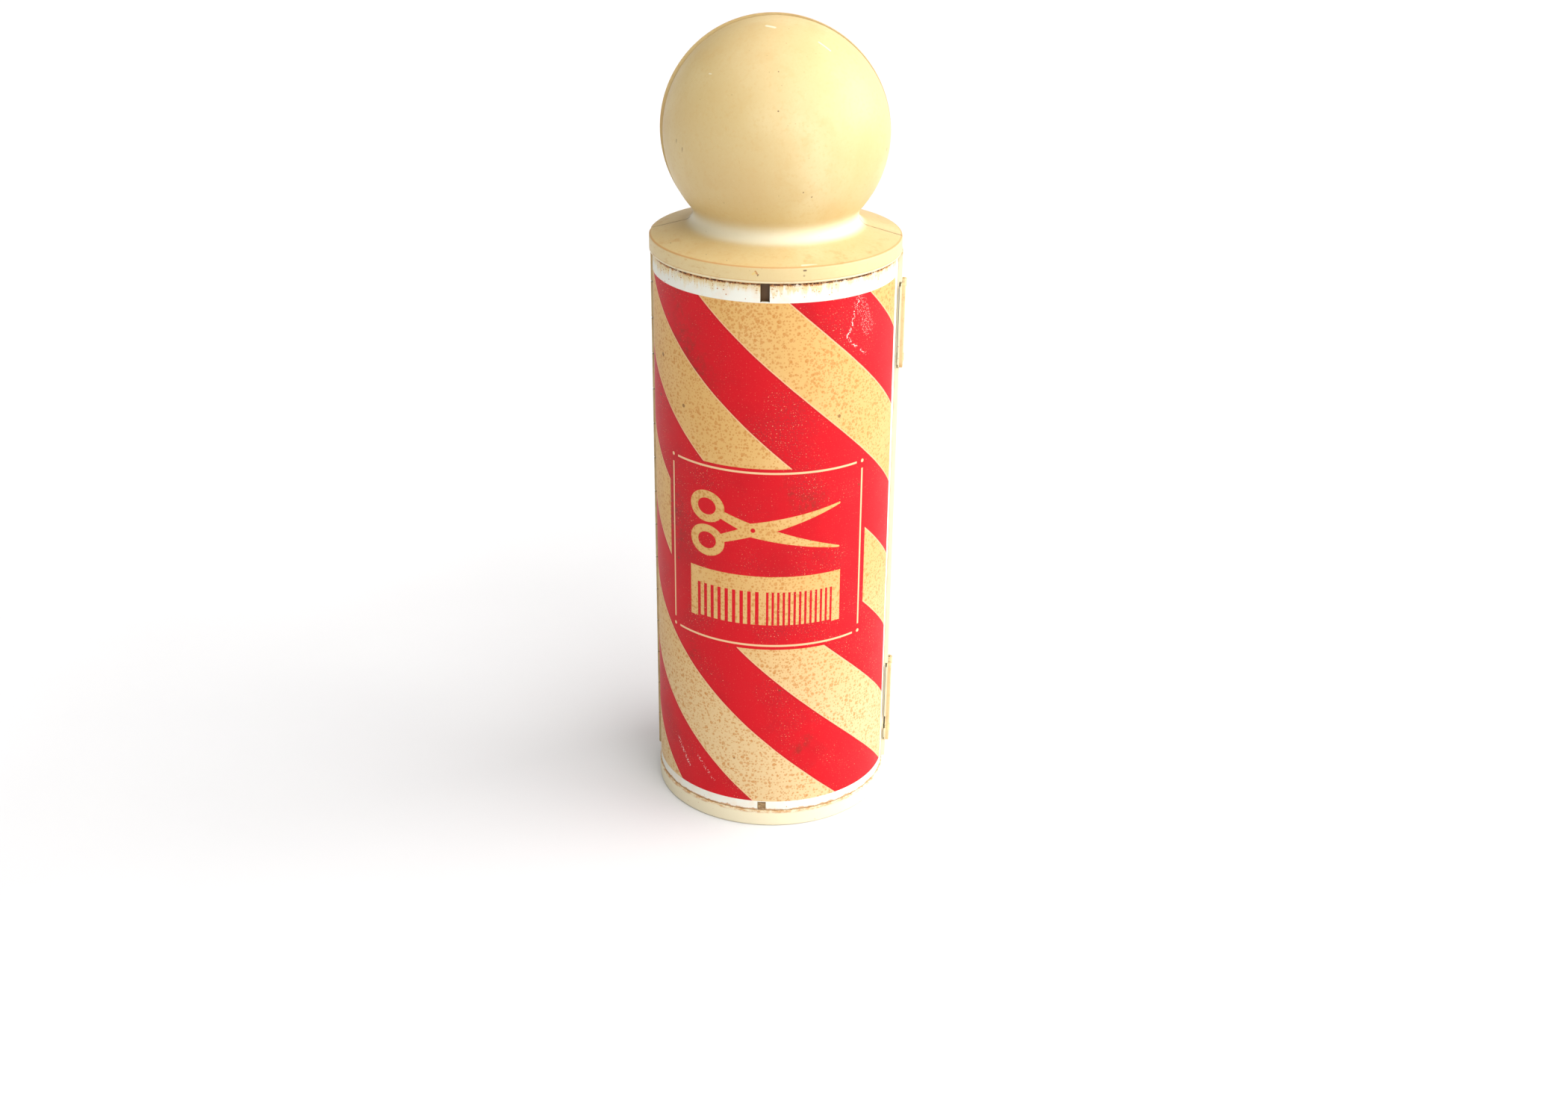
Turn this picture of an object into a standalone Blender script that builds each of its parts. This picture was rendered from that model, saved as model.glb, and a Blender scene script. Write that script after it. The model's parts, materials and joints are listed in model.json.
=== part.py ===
"""Barber pole storage case: two hinged half shells with tin wraps, trays and two latches.

Frame: +Z up, the case stands on z = 0, its axis is the Z axis. The front half is on the
-Y side, the hinge on the -X side and the two latches on the +X side.
"""
import math

import bmesh
import bpy
from mathutils import Matrix, Vector

MM = 0.001

# Driving dimensions
FLANGE_RADIUS = 47.5 * MM
FLANGE_TOP = 232.3 * MM
FLANGE_SIDE = 5.8 * MM
CONE_SLOPE = math.radians(15.0)
BALL_RADIUS = 41.8 * MM
BALL_CENTRE = 269.9 * MM
NECK_FILLET = 4.5 * MM
RIM_RADIUS = 46.7 * MM
RIM_HEIGHT = 7.0 * MM
RIM_BEVEL = 0.9 * MM
WRAP_RADIUS = 46.3 * MM
WRAP_SHEET = 0.3 * MM
WALL = 2.2 * MM
BASE_THICKNESS = 2.5 * MM
GAP = 0.3 * MM
STEPS = 64

# Worked out from them
FLANGE_BOTTOM = FLANGE_TOP - FLANGE_SIDE
SEAT_RADIUS = WRAP_RADIUS - WRAP_SHEET - 0.2 * MM
CAVITY_RADIUS = SEAT_RADIUS - WALL
WRAP_LOW = RIM_HEIGHT + GAP
WRAP_HIGH = FLANGE_BOTTOM - GAP
HALF_GAP = GAP / 2
FAR = 80.0 * MM

# Seam flanges down the side of each half
SEAM_FLANGE_RADIUS = 47.9 * MM
SEAM_FLANGE_LOW = 9.5 * MM
SEAM_FLANGE_HIGH = FLANGE_BOTTOM + GAP
FRONT_FLANGE_WIDTH = 2.3 * MM
REAR_FLANGE_WIDTH = 7.6 * MM
WRAP_EDGE = 2.5 * MM
REAR_WRAP_EDGE = 8.1 * MM
BALL_BEAD_RADIUS = BALL_RADIUS + 0.7 * MM
BALL_BEAD_WIDTH = 1.6 * MM
BALL_BEAD_LOW = 243.0 * MM
BALL_BEAD_SHIFT = -0.7 * MM

# Hinge
HINGE_X = -46.3 * MM
HINGE_LOW = 9.7 * MM
HINGE_HIGH = 226.1 * MM
HINGE_OPENING = math.radians(120.0)
KNUCKLE_RADIUS = 1.25 * MM
KNUCKLE_BORE = 0.7 * MM
PIN_RADIUS = 0.6 * MM
KNUCKLES = 15
GROOVE_RADIUS = 1.6 * MM
LEAF_THICKNESS = 0.8 * MM
LEAF_NEAR = HINGE_X + 1.8 * MM
LEAF_FAR = -37.0 * MM
LAND_FAR = -36.3 * MM
LAND_THICKNESS = 2.0 * MM
RIVET_X = -40.6 * MM
RIVET_RADIUS = 1.1 * MM
RIVET_HEAD_RADIUS = 2.2 * MM
RIVET_HEAD_HEIGHT = 1.0 * MM
RIVET_HEIGHTS = (26.0 * MM, 87.0 * MM, 148.0 * MM, 209.0 * MM)

# Latches
LATCH_AXIS = Vector((48.1 * MM, 5.0 * MM, 0.0))
LATCH_INNER = 47.5 * MM
LATCH_OUTER = 49.3 * MM
LATCH_FRONT = -3.4 * MM
LATCH_BACK = 3.2 * MM
LATCH_LIP = 0.3 * MM
LATCH_RANGES = {"upper": (181.5 * MM, 214.5 * MM), "lower": (17.5 * MM, 52.5 * MM)}
BARREL_RADIUS = 1.2 * MM
LUG_RADIUS = 1.45 * MM
LUG_HEIGHT = 3.0 * MM
POCKET_FLOOR = 46.5 * MM
KEEPER_TOP = 46.9 * MM

# Trays
DECK_NEAR = 3.0 * MM
DECK_THICKNESS = 1.8 * MM
DECK_LEFT = -34.5 * MM
DECK_RIGHT = 42.0 * MM
DECK_LOW = 5.0 * MM
DECK_HIGH = 222.5 * MM
POCKET_HALF_WIDTH = 24.0 * MM
POCKET_DEPTH = 31.0 * MM
POCKET_WALL = 1.5 * MM
REAR_POCKETS = ((11.5 * MM, 206.5 * MM),)
FRONT_POCKETS = ((11.5 * MM, 104.0 * MM), (114.0 * MM, 206.5 * MM))
BOSS_X = 30.5 * MM
BOSS_RADIUS = 3.2 * MM
BOSS_HEIGHTS = (24.0 * MM, 194.0 * MM)
PILOT_RADIUS = 1.2 * MM
PILOT_DEPTH = 9.0 * MM
SCREW_RADIUS = 1.0 * MM
SCREW_HEAD_RADIUS = 2.6 * MM
SCREW_HEAD_HEIGHT = 1.4 * MM

# Locating notches of the wraps
NOTCH_WIDTH = 3.4 * MM
TOP_NOTCH_HEIGHT = 7.2 * MM
BOTTOM_NOTCH_HEIGHT = 3.6 * MM
TAB_SLOT_DEPTH = 1.5 * MM
TAB_DEPTH = 1.3 * MM
TAB_CLEARANCE = 0.4 * MM

COLOURS = {
    "aged_ivory_plastic": ((0.80, 0.66, 0.36, 1.0), 0.38, 0.0),
    "printed_tin": ((0.66, 0.03, 0.06, 1.0), 0.30, 0.0),
    "hinge_steel": ((0.62, 0.52, 0.36, 1.0), 0.45, 0.8),
    "fastener_steel": ((0.55, 0.55, 0.53, 1.0), 0.35, 1.0),
    "tray_plastic": ((0.72, 0.68, 0.56, 1.0), 0.50, 0.0),
}


def clear_scene():
    for obj in list(bpy.data.objects):
        bpy.data.objects.remove(obj, do_unlink=True)


def new_collection(name):
    collection = bpy.data.collections.new(name)
    bpy.context.scene.collection.children.link(collection)
    return collection


def new_material(name):
    colour, roughness, metallic = COLOURS[name]
    material = bpy.data.materials.new(name)
    material.use_nodes = True
    shader = material.node_tree.nodes["Principled BSDF"]
    shader.inputs["Base Color"].default_value = colour
    shader.inputs["Roughness"].default_value = roughness
    shader.inputs["Metallic"].default_value = metallic
    return material


clear_scene()
PARTS = new_collection("barber_pole_case")
CUTTERS = new_collection("barber_pole_case_cutters")
MATERIALS = {name: new_material(name) for name in COLOURS}


def add_mesh(name, build, location=(0.0, 0.0, 0.0)):
    """Makes a cutter object from a function that fills a bmesh."""
    mesh = bpy.data.meshes.new(name)
    bm = bmesh.new()
    build(bm)
    bm.to_mesh(mesh)
    bm.free()
    obj = bpy.data.objects.new(name, mesh)
    obj.location = location
    obj.display_type = "WIRE"
    obj.hide_render = True
    CUTTERS.objects.link(obj)
    return obj


def as_part(obj, material, axis=None):
    """Moves a finished shape from the cutters to the parts."""
    CUTTERS.objects.unlink(obj)
    PARTS.objects.link(obj)
    obj.display_type = "TEXTURED"
    obj.hide_render = False
    obj.data.materials.append(MATERIALS[material])
    obj.data.shade_smooth()
    obj.data.set_sharp_from_angle(angle=math.radians(30.0))
    if axis is not None:
        obj.parent = axis
        obj.matrix_parent_inverse = axis.matrix_world.inverted()
    return obj


def axis_empty(name, location):
    empty = bpy.data.objects.new(name, None)
    empty.location = location
    PARTS.objects.link(empty)
    bpy.context.view_layer.update()
    return empty


def box(name, low, high):
    low, high = Vector(low), Vector(high)
    size = high - low

    def build(bm):
        bmesh.ops.create_cube(bm, size=1.0, matrix=Matrix.Diagonal((*size, 1.0)))

    return add_mesh(name, build, (low + high) / 2)


def cylinder(name, radius, start, end, segments=16, end_radius=None):
    """A cylinder or cone between two points."""
    start, end = Vector(start), Vector(end)
    along = end - start
    turn = along.to_track_quat("Z", "Y").to_matrix().to_4x4()

    def build(bm):
        bmesh.ops.create_cone(
            bm,
            cap_ends=True,
            segments=segments,
            radius1=radius,
            radius2=radius if end_radius is None else end_radius,
            depth=along.length,
            matrix=turn,
        )

    return add_mesh(name, build, (start + end) / 2)


def revolve(name, profile, closed=False):
    """Turns a profile of (radius, height) points that runs down its outer side."""

    def build(bm):
        points = [bm.verts.new((radius, 0.0, height)) for radius, height in profile]
        pairs = list(zip(points, points[1:]))
        if closed:
            pairs.append((points[-1], points[0]))
        for first, second in pairs:
            bm.edges.new((first, second))

    obj = add_mesh(name, build)
    screw = obj.modifiers.new("turn", "SCREW")
    screw.steps = STEPS
    screw.render_steps = STEPS
    screw.use_merge_vertices = True
    screw.merge_threshold = 0.00001
    return obj


def boolean(obj, tool, operation):
    modifier = obj.modifiers.new(tool.name, "BOOLEAN")
    modifier.operation = operation
    modifier.solver = "EXACT"
    modifier.object = tool
    return obj


def cut(obj, *tools):
    for tool in tools:
        boolean(obj, tool, "DIFFERENCE")
    return obj


def join(obj, *tools):
    for tool in tools:
        boolean(obj, tool, "UNION")
    return obj


def span(side, near, far):
    """Low and high y of a stretch that starts near the seam plane, on one side of it."""
    return (near, far) if side > 0 else (-far, -near)


def arc(centre, radius, start, end, count):
    """Points on a circle in the (radius, height) plane, both ends included."""
    points = []
    for i in range(count + 1):
        angle = start + (end - start) * i / count
        points.append(
            (centre[0] + radius * math.cos(angle), centre[1] + radius * math.sin(angle))
        )
    return points


def head_profile(inset):
    """Ball, neck fillet and the start of the cone, from the top down, set in by inset."""
    ball = BALL_RADIUS - inset
    fillet = NECK_FILLET + inset
    along = Vector((-math.cos(CONE_SLOPE), math.sin(CONE_SLOPE)))
    normal = Vector((math.sin(CONE_SLOPE), math.cos(CONE_SLOPE)))
    centre = Vector((0.0, BALL_CENTRE))
    start = Vector((FLANGE_RADIUS, FLANGE_TOP)) + normal * NECK_FILLET - centre
    reach = BALL_RADIUS + NECK_FILLET
    slide = -start.dot(along) - math.sqrt(
        start.dot(along) ** 2 - start.length_squared + reach**2
    )
    fillet_centre = centre + start + along * slide
    towards = fillet_centre - centre
    touch = math.atan2(towards.y, towards.x)
    leave = math.atan2(-normal.y, -normal.x)
    if leave < 0:
        leave += math.tau
    points = arc(centre, ball, math.pi / 2, touch, 18)
    points += arc(fillet_centre, fillet, touch + math.pi, leave, 5)
    points[0] = (0.0, BALL_CENTRE + ball)
    return points


def outer_profile():
    return head_profile(0.0) + [
        (FLANGE_RADIUS - 0.6 * MM, FLANGE_TOP + 0.6 * MM * math.tan(CONE_SLOPE)),
        (FLANGE_RADIUS, FLANGE_TOP - 0.5 * MM),
        (FLANGE_RADIUS, FLANGE_BOTTOM),
        (SEAT_RADIUS, FLANGE_BOTTOM),
        (SEAT_RADIUS, RIM_HEIGHT),
        (RIM_RADIUS, RIM_HEIGHT),
        (RIM_RADIUS, RIM_BEVEL),
        (RIM_RADIUS - RIM_BEVEL, 0.0),
        (0.0, 0.0),
    ]


def inner_profile():
    drop = WALL / math.cos(CONE_SLOPE)
    run = FLANGE_RADIUS - CAVITY_RADIUS
    corner = FLANGE_TOP + run * math.tan(CONE_SLOPE) - drop
    return head_profile(WALL) + [
        (CAVITY_RADIUS, corner),
        (CAVITY_RADIUS, BASE_THICKNESS),
        (0.0, BASE_THICKNESS),
    ]


def half_space(name, side, near):
    low, high = span(side, near, FAR)
    return box(name, (-FAR, low, -FAR), (FAR, high, 5 * FAR))


def seam_flange(label, side, width):
    """The raised band beside the seam on the latch side."""
    ring = revolve(
        f"{label}_seam_flange_tool",
        [
            (SEAM_FLANGE_RADIUS, SEAM_FLANGE_HIGH),
            (SEAM_FLANGE_RADIUS, SEAM_FLANGE_LOW),
            (CAVITY_RADIUS + 0.5 * MM, SEAM_FLANGE_LOW),
            (CAVITY_RADIUS + 0.5 * MM, SEAM_FLANGE_HIGH),
        ],
        closed=True,
    )
    low, high = span(side, -MM, width)
    keep = box(f"{label}_seam_flange_keep", (0.0, low, 0.0), (FAR, high, 4 * FAR))
    return boolean(ring, keep, "INTERSECT")


def cavity(label, side):
    """The hollow of a shell, without the hinge land and the screw bosses."""
    hollow = revolve(f"{label}_cavity_tool", inner_profile())
    near = LEAF_THICKNESS + HALF_GAP + GAP
    low, high = span(side, near, near + LAND_THICKNESS)
    land = box(
        f"{label}_land_tool", (-FAR, low, SEAM_FLANGE_LOW), (LAND_FAR, high, HINGE_HIGH)
    )
    cut(hollow, land)
    for number, (x, z) in enumerate(boss_places(), 1):
        start = side * (DECK_NEAR + DECK_THICKNESS + GAP)
        boss = cylinder(
            f"{label}_boss_{number}_tool", BOSS_RADIUS, (x, start, z), (x, side * FAR, z)
        )
        cut(hollow, boss)
    return hollow


def boss_places():
    return [(x, z) for z in BOSS_HEIGHTS for x in (-BOSS_X, BOSS_X)]


def hinge_relief(label, side):
    """The wedge outside the hinge axis that the other half swings into."""
    margin = math.radians(2.0)
    half_angle = HINGE_OPENING / 2 + margin
    reach = 12.0 * MM
    inner = Vector((HINGE_X, 0.0))
    outer = inner + reach * Vector((-math.cos(half_angle), side * math.sin(half_angle)))
    straight = inner + reach * Vector((-1.0, -side * 0.5))
    corners = [inner + Vector((0.0, -side * 6.0 * MM)), straight, outer, inner]

    def build(bm):
        bottom = [bm.verts.new((x, y, -10.0 * MM)) for x, y in corners]
        if side < 0:
            bottom.reverse()
        face = bm.faces.new(bottom)
        grown = bmesh.ops.extrude_face_region(bm, geom=[face])
        risen = [item for item in grown["geom"] if isinstance(item, bmesh.types.BMVert)]
        bmesh.ops.translate(bm, vec=(0.0, 0.0, 5 * FAR), verts=risen)
        bmesh.ops.recalc_face_normals(bm, faces=bm.faces)

    return add_mesh(f"{label}_relief_tool", build)


def leaf_recess(label, side):
    low, high = span(side, -MM, LEAF_THICKNESS + HALF_GAP + GAP)
    return box(
        f"{label}_leaf_recess",
        (HINGE_X, low, HINGE_LOW),
        (LEAF_FAR + GAP, high, HINGE_HIGH),
    )


def shell(label, side):
    obj = revolve(f"{label}_shell", outer_profile())
    width = REAR_FLANGE_WIDTH if side > 0 else FRONT_FLANGE_WIDTH
    join(obj, seam_flange(label, side, width))
    if side > 0:
        join(obj, ball_bead())
    boolean(obj, half_space(f"{label}_half", side, HALF_GAP), "INTERSECT")
    cut(obj, cavity(label, side), leaf_recess(label, side), hinge_relief(label, side))
    groove = cylinder(
        f"{label}_groove_tool",
        GROOVE_RADIUS,
        (HINGE_X, 0.0, SEAM_FLANGE_LOW - 0.1 * MM),
        (HINGE_X, 0.0, HINGE_HIGH + 0.1 * MM),
        24,
    )
    cut(obj, groove)
    floor = POCKET_FLOOR if side > 0 else KEEPER_TOP
    low, high = span(side, -MM, REAR_FLANGE_WIDTH + MM)
    for where, (bottom, top) in LATCH_RANGES.items():
        pocket = box(
            f"{label}_latch_pocket_{where}",
            (floor, low, bottom - 0.6 * MM),
            (FAR, high, top + 0.6 * MM),
        )
        cut(obj, pocket)
        if side > 0:
            latch_lugs(obj, where, bottom, top)
    for number, z in enumerate(RIVET_HEIGHTS, 1):
        cut(obj, rivet_hole(f"{label}_shell_rivet_hole_{number}", side, z))
    for number, (x, z) in enumerate(boss_places(), 1):
        pilot = cylinder(
            f"{label}_pilot_{number}",
            PILOT_RADIUS,
            (x, side * DECK_NEAR, z),
            (x, side * (DECK_NEAR + DECK_THICKNESS + PILOT_DEPTH), z),
            12,
        )
        cut(obj, pilot)
    cut(obj, tab_slot(label, side))
    join(obj, bottom_key(label, side))
    return obj


def ball_bead():
    """The raised edge round the rear half of the ball, wider towards the hinge."""
    ring = cylinder(
        "ball_bead_tool",
        BALL_BEAD_RADIUS,
        (BALL_BEAD_SHIFT, -MM, BALL_CENTRE),
        (BALL_BEAD_SHIFT, BALL_BEAD_WIDTH, BALL_CENTRE),
        96,
    )
    above = box("ball_bead_keep", (-FAR, -FAR, BALL_BEAD_LOW), (FAR, FAR, 5 * FAR))
    return boolean(ring, above, "INTERSECT")


def latch_lugs(obj, where, bottom, top):
    """Two round lugs that hold the latch pin, joined to the rear shell."""
    x, y = LATCH_AXIS.x, LATCH_AXIS.y
    for end, low in (("low", bottom), ("high", top - LUG_HEIGHT)):
        lug = cylinder(
            f"latch_{where}_lug_{end}", LUG_RADIUS, (x, y, low), (x, y, low + LUG_HEIGHT)
        )
        web = box(
            f"latch_{where}_web_{end}",
            (CAVITY_RADIUS + MM, y - LUG_RADIUS + 0.03 * MM, low + 0.02 * MM),
            (x, y + LUG_RADIUS - 0.03 * MM, low + LUG_HEIGHT - 0.02 * MM),
        )
        join(obj, web, lug)
    bore = cylinder(
        f"latch_{where}_lug_bore",
        KNUCKLE_BORE,
        (x, y, bottom - MM),
        (x, y, top + MM),
    )
    cut(obj, bore)


def rivet_hole(name, side, z):
    return cylinder(
        name,
        RIVET_RADIUS + 0.2 * MM,
        (RIVET_X, -side * MM, z),
        (RIVET_X, side * 8.0 * MM, z),
    )


def tab_slot(label, side):
    """The recess in the shell for the tab at the top of the wrap."""
    half = NOTCH_WIDTH / 2
    low, high = span(side, SEAT_RADIUS - TAB_SLOT_DEPTH, FAR)
    bottom = FLANGE_BOTTOM - TOP_NOTCH_HEIGHT - TAB_CLEARANCE
    return box(
        f"{label}_tab_slot", (-half, low, bottom), (half, high, FLANGE_BOTTOM - 0.1 * MM)
    )


def bottom_key(label, side):
    """The small key on the shell that sits in the bottom notch of the wrap."""
    half = NOTCH_WIDTH / 2 - GAP
    low, high = span(side, SEAT_RADIUS - MM, WRAP_RADIUS - 0.1 * MM)
    top = WRAP_LOW + BOTTOM_NOTCH_HEIGHT - GAP
    return box(
        f"{label}_bottom_key", (-half, low, RIM_HEIGHT - 0.5 * MM), (half, high, top)
    )


def wrap(label, side, edge):
    """The printed tin sheet round one half, with its notches and its folded tab."""
    inner = WRAP_RADIUS - WRAP_SHEET
    obj = revolve(
        f"{label}_wrap",
        [
            (WRAP_RADIUS, WRAP_HIGH),
            (WRAP_RADIUS, WRAP_LOW),
            (inner, WRAP_LOW),
            (inner, WRAP_HIGH),
        ],
        closed=True,
    )
    boolean(obj, half_space(f"{label}_wrap_half", side, edge), "INTERSECT")
    half = NOTCH_WIDTH / 2
    low, high = span(side, CAVITY_RADIUS, FAR)
    notch_top = box(
        f"{label}_notch_top",
        (-half, low, FLANGE_BOTTOM - TOP_NOTCH_HEIGHT),
        (half, high, FLANGE_TOP),
    )
    notch_bottom = box(
        f"{label}_notch_bottom", (-half, low, 0.0), (half, high, WRAP_LOW + BOTTOM_NOTCH_HEIGHT)
    )
    cut(obj, notch_top, notch_bottom)
    half -= TAB_CLEARANCE
    low, high = span(side, WRAP_RADIUS - TAB_DEPTH, WRAP_RADIUS - 0.1 * MM)
    top = FLANGE_BOTTOM - TOP_NOTCH_HEIGHT + WRAP_SHEET / 2
    tab = box(f"{label}_tab", (-half, low, top - WRAP_SHEET), (half, high, top))
    return join(obj, tab)


def knuckle_heights(own):
    """Low and high ends of the knuckles that belong to the leaf with this parity."""
    pitch = (HINGE_HIGH - HINGE_LOW) / KNUCKLES
    ends = []
    for number in range(KNUCKLES):
        if number % 2 == own:
            low = HINGE_LOW + number * pitch
            ends.append((low + HALF_GAP, low + pitch - HALF_GAP))
    return ends


def hinge_leaf(label, side, own):
    low, high = span(side, HALF_GAP, HALF_GAP + LEAF_THICKNESS)
    obj = box(
        f"hinge_leaf_{label}",
        (LEAF_NEAR, low, HINGE_LOW + 2 * GAP),
        (LEAF_FAR, high, HINGE_HIGH - 2 * GAP),
    )
    inset = 0.01 * MM
    for number, (bottom, top) in enumerate(knuckle_heights(own), 1):
        tab = box(
            f"hinge_tab_{label}_{number}",
            (HINGE_X + KNUCKLE_BORE + 0.05 * MM, low + inset, bottom + GAP),
            (LEAF_NEAR + MM, high - inset, top - GAP),
        )
        barrel = cylinder(
            f"hinge_knuckle_{label}_{number}",
            KNUCKLE_RADIUS,
            (HINGE_X, 0.0, bottom),
            (HINGE_X, 0.0, top),
        )
        join(obj, tab, barrel)
    bore = cylinder(
        f"hinge_bore_{label}",
        KNUCKLE_BORE,
        (HINGE_X, 0.0, 0.0),
        (HINGE_X, 0.0, FLANGE_TOP),
    )
    cut(obj, bore)
    for number, z in enumerate(RIVET_HEIGHTS, 1):
        cut(obj, rivet_hole(f"{label}_leaf_rivet_hole_{number}", side, z))
    return obj


def hinge_rivet(label, side, number, z):
    """A rivet, flush with the leaf and headed inside the shell."""
    shank_end = LEAF_THICKNESS + LAND_THICKNESS + 3 * GAP
    start = (RIVET_X, side * 2 * HALF_GAP, z)
    under_head = (RIVET_X, side * shank_end, z)
    head_end = (RIVET_X, side * (shank_end + RIVET_HEAD_HEIGHT), z)
    obj = cylinder(f"hinge_rivet_{label}_{number}", RIVET_RADIUS, start, head_end, 12)
    head = cylinder(
        f"hinge_rivet_head_{label}_{number}",
        RIVET_HEAD_RADIUS,
        under_head,
        (RIVET_X, head_end[1] + side * 0.1 * MM, z),
        16,
        RIVET_HEAD_RADIUS * 0.6,
    )
    return join(obj, head)


def latch_plate(where, bottom, top):
    """A flat plate with a hinge barrel at its back edge and a lip at its front edge."""
    x, y = LATCH_AXIS.x, LATCH_AXIS.y
    obj = box(
        f"latch_plate_{where}",
        (LATCH_INNER, LATCH_FRONT, bottom),
        (LATCH_OUTER, LATCH_BACK, top),
    )
    low = bottom + LUG_HEIGHT + GAP
    high = top - LUG_HEIGHT - GAP
    neck = box(
        f"latch_neck_{where}",
        (LATCH_INNER + 0.02 * MM, LATCH_BACK - MM, low),
        (LATCH_OUTER - 0.02 * MM, y, high),
    )
    barrel = cylinder(
        f"latch_barrel_{where}", BARREL_RADIUS, (x, y, low - 0.02 * MM), (x, y, high + 0.02 * MM)
    )
    lip = box(
        f"latch_lip_{where}",
        (LATCH_INNER - LATCH_LIP, LATCH_FRONT + 0.02 * MM, bottom + MM),
        (LATCH_INNER + LATCH_LIP, LATCH_FRONT + 0.7 * MM, top - MM),
    )
    bore = cylinder(f"latch_bore_{where}", KNUCKLE_BORE, (x, y, 0.0), (x, y, FLANGE_TOP))
    join(obj, neck, barrel, lip)
    cut(obj, bore)
    if where == "lower":
        chip = box(
            "latch_lower_chip",
            (POCKET_FLOOR, LATCH_FRONT - MM, bottom + 5.0 * MM),
            (FAR, LATCH_FRONT + 2.2 * MM, bottom + 11.0 * MM),
        )
        cut(obj, chip)
    return obj


def tray(name, side, pockets):
    """A flat deck with moulded pockets behind it, screwed to the bosses of its shell."""
    low, high = span(side, DECK_NEAR, DECK_NEAR + DECK_THICKNESS)
    obj = box(name, (DECK_LEFT, low, DECK_LOW), (DECK_RIGHT, high, DECK_HIGH))
    for number, (bottom, top) in enumerate(pockets, 1):
        low, high = span(side, DECK_NEAR + MM, POCKET_DEPTH + POCKET_WALL)
        outside = box(
            f"{name}_pocket_{number}_outside",
            (-POCKET_HALF_WIDTH - POCKET_WALL, low, bottom - POCKET_WALL),
            (POCKET_HALF_WIDTH + POCKET_WALL, high, top + POCKET_WALL),
        )
        join(obj, outside)
    for number, (bottom, top) in enumerate(pockets, 1):
        low, high = span(side, DECK_NEAR - MM, POCKET_DEPTH)
        inside = box(
            f"{name}_pocket_{number}_inside",
            (-POCKET_HALF_WIDTH, low, bottom),
            (POCKET_HALF_WIDTH, high, top),
        )
        cut(obj, inside)
    for number, (x, z) in enumerate(boss_places(), 1):
        hole = cylinder(
            f"{name}_hole_{number}",
            SCREW_RADIUS + GAP,
            (x, 0.0, z),
            (x, side * (DECK_NEAR + 3 * DECK_THICKNESS), z),
            12,
        )
        cut(obj, hole)
    return obj


def tray_screw(label, side, number, x, z):
    """A pan-head screw through the deck into its boss."""
    head_top = DECK_NEAR - GAP - SCREW_HEAD_HEIGHT
    tip = DECK_NEAR + DECK_THICKNESS + PILOT_DEPTH - MM
    obj = cylinder(
        f"tray_screw_{label}_{number}",
        SCREW_HEAD_RADIUS * 0.75,
        (x, side * head_top, z),
        (x, side * (DECK_NEAR - GAP), z),
        16,
        SCREW_HEAD_RADIUS,
    )
    shank = cylinder(
        f"tray_screw_shank_{label}_{number}",
        SCREW_RADIUS,
        (x, side * (head_top + 0.5 * MM), z),
        (x, side * tip, z),
        12,
    )
    return join(obj, shank)


def upright_pin(name, x, y, bottom, top):
    return cylinder(name, PIN_RADIUS, (x, y, bottom), (x, y, top))


def main():
    case_axis = axis_empty("case_hinge_axis", (HINGE_X, 0.0, 0.0))
    for label, side, own, axis in (("rear", 1, 0, None), ("front", -1, 1, case_axis)):
        as_part(shell(label, side), "aged_ivory_plastic", axis)
        edge = REAR_WRAP_EDGE if side > 0 else WRAP_EDGE
        as_part(wrap(label, side, edge), "printed_tin", axis)
        as_part(hinge_leaf(label, side, own), "hinge_steel", axis)
        for number, z in enumerate(RIVET_HEIGHTS, 1):
            as_part(hinge_rivet(label, side, number, z), "fastener_steel", axis)
        name = "clipper_tray" if side > 0 else "accessory_tray"
        pockets = REAR_POCKETS if side > 0 else FRONT_POCKETS
        as_part(tray(name, side, pockets), "tray_plastic", axis)
        for number, (x, z) in enumerate(boss_places(), 1):
            as_part(tray_screw(label, side, number, x, z), "fastener_steel", axis)
    pin = upright_pin("hinge_pin", HINGE_X, 0.0, HINGE_LOW + GAP, HINGE_HIGH - GAP)
    as_part(pin, "fastener_steel")
    for where, (bottom, top) in LATCH_RANGES.items():
        middle = (bottom + top) / 2
        latch_axis = axis_empty(f"latch_{where}_axis", LATCH_AXIS + Vector((0, 0, middle)))
        as_part(latch_plate(where, bottom, top), "aged_ivory_plastic", latch_axis)
        pin = upright_pin(
            f"latch_pin_{where}", LATCH_AXIS.x, LATCH_AXIS.y, bottom + GAP, top - GAP
        )
        as_part(pin, "fastener_steel")


main()
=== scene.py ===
"""Looks of the barber pole storage case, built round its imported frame.

Two hinged half shells of aged ivory plastic carry a ball on top, a sheet of printed tin each,
moulded trays, a piano hinge and two latches. Lengths are metres, written as millimetres * MM;
the materials work in millimetres.
"""
import json
import math

import bmesh
import bpy
from mathutils import Matrix, Vector


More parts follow.
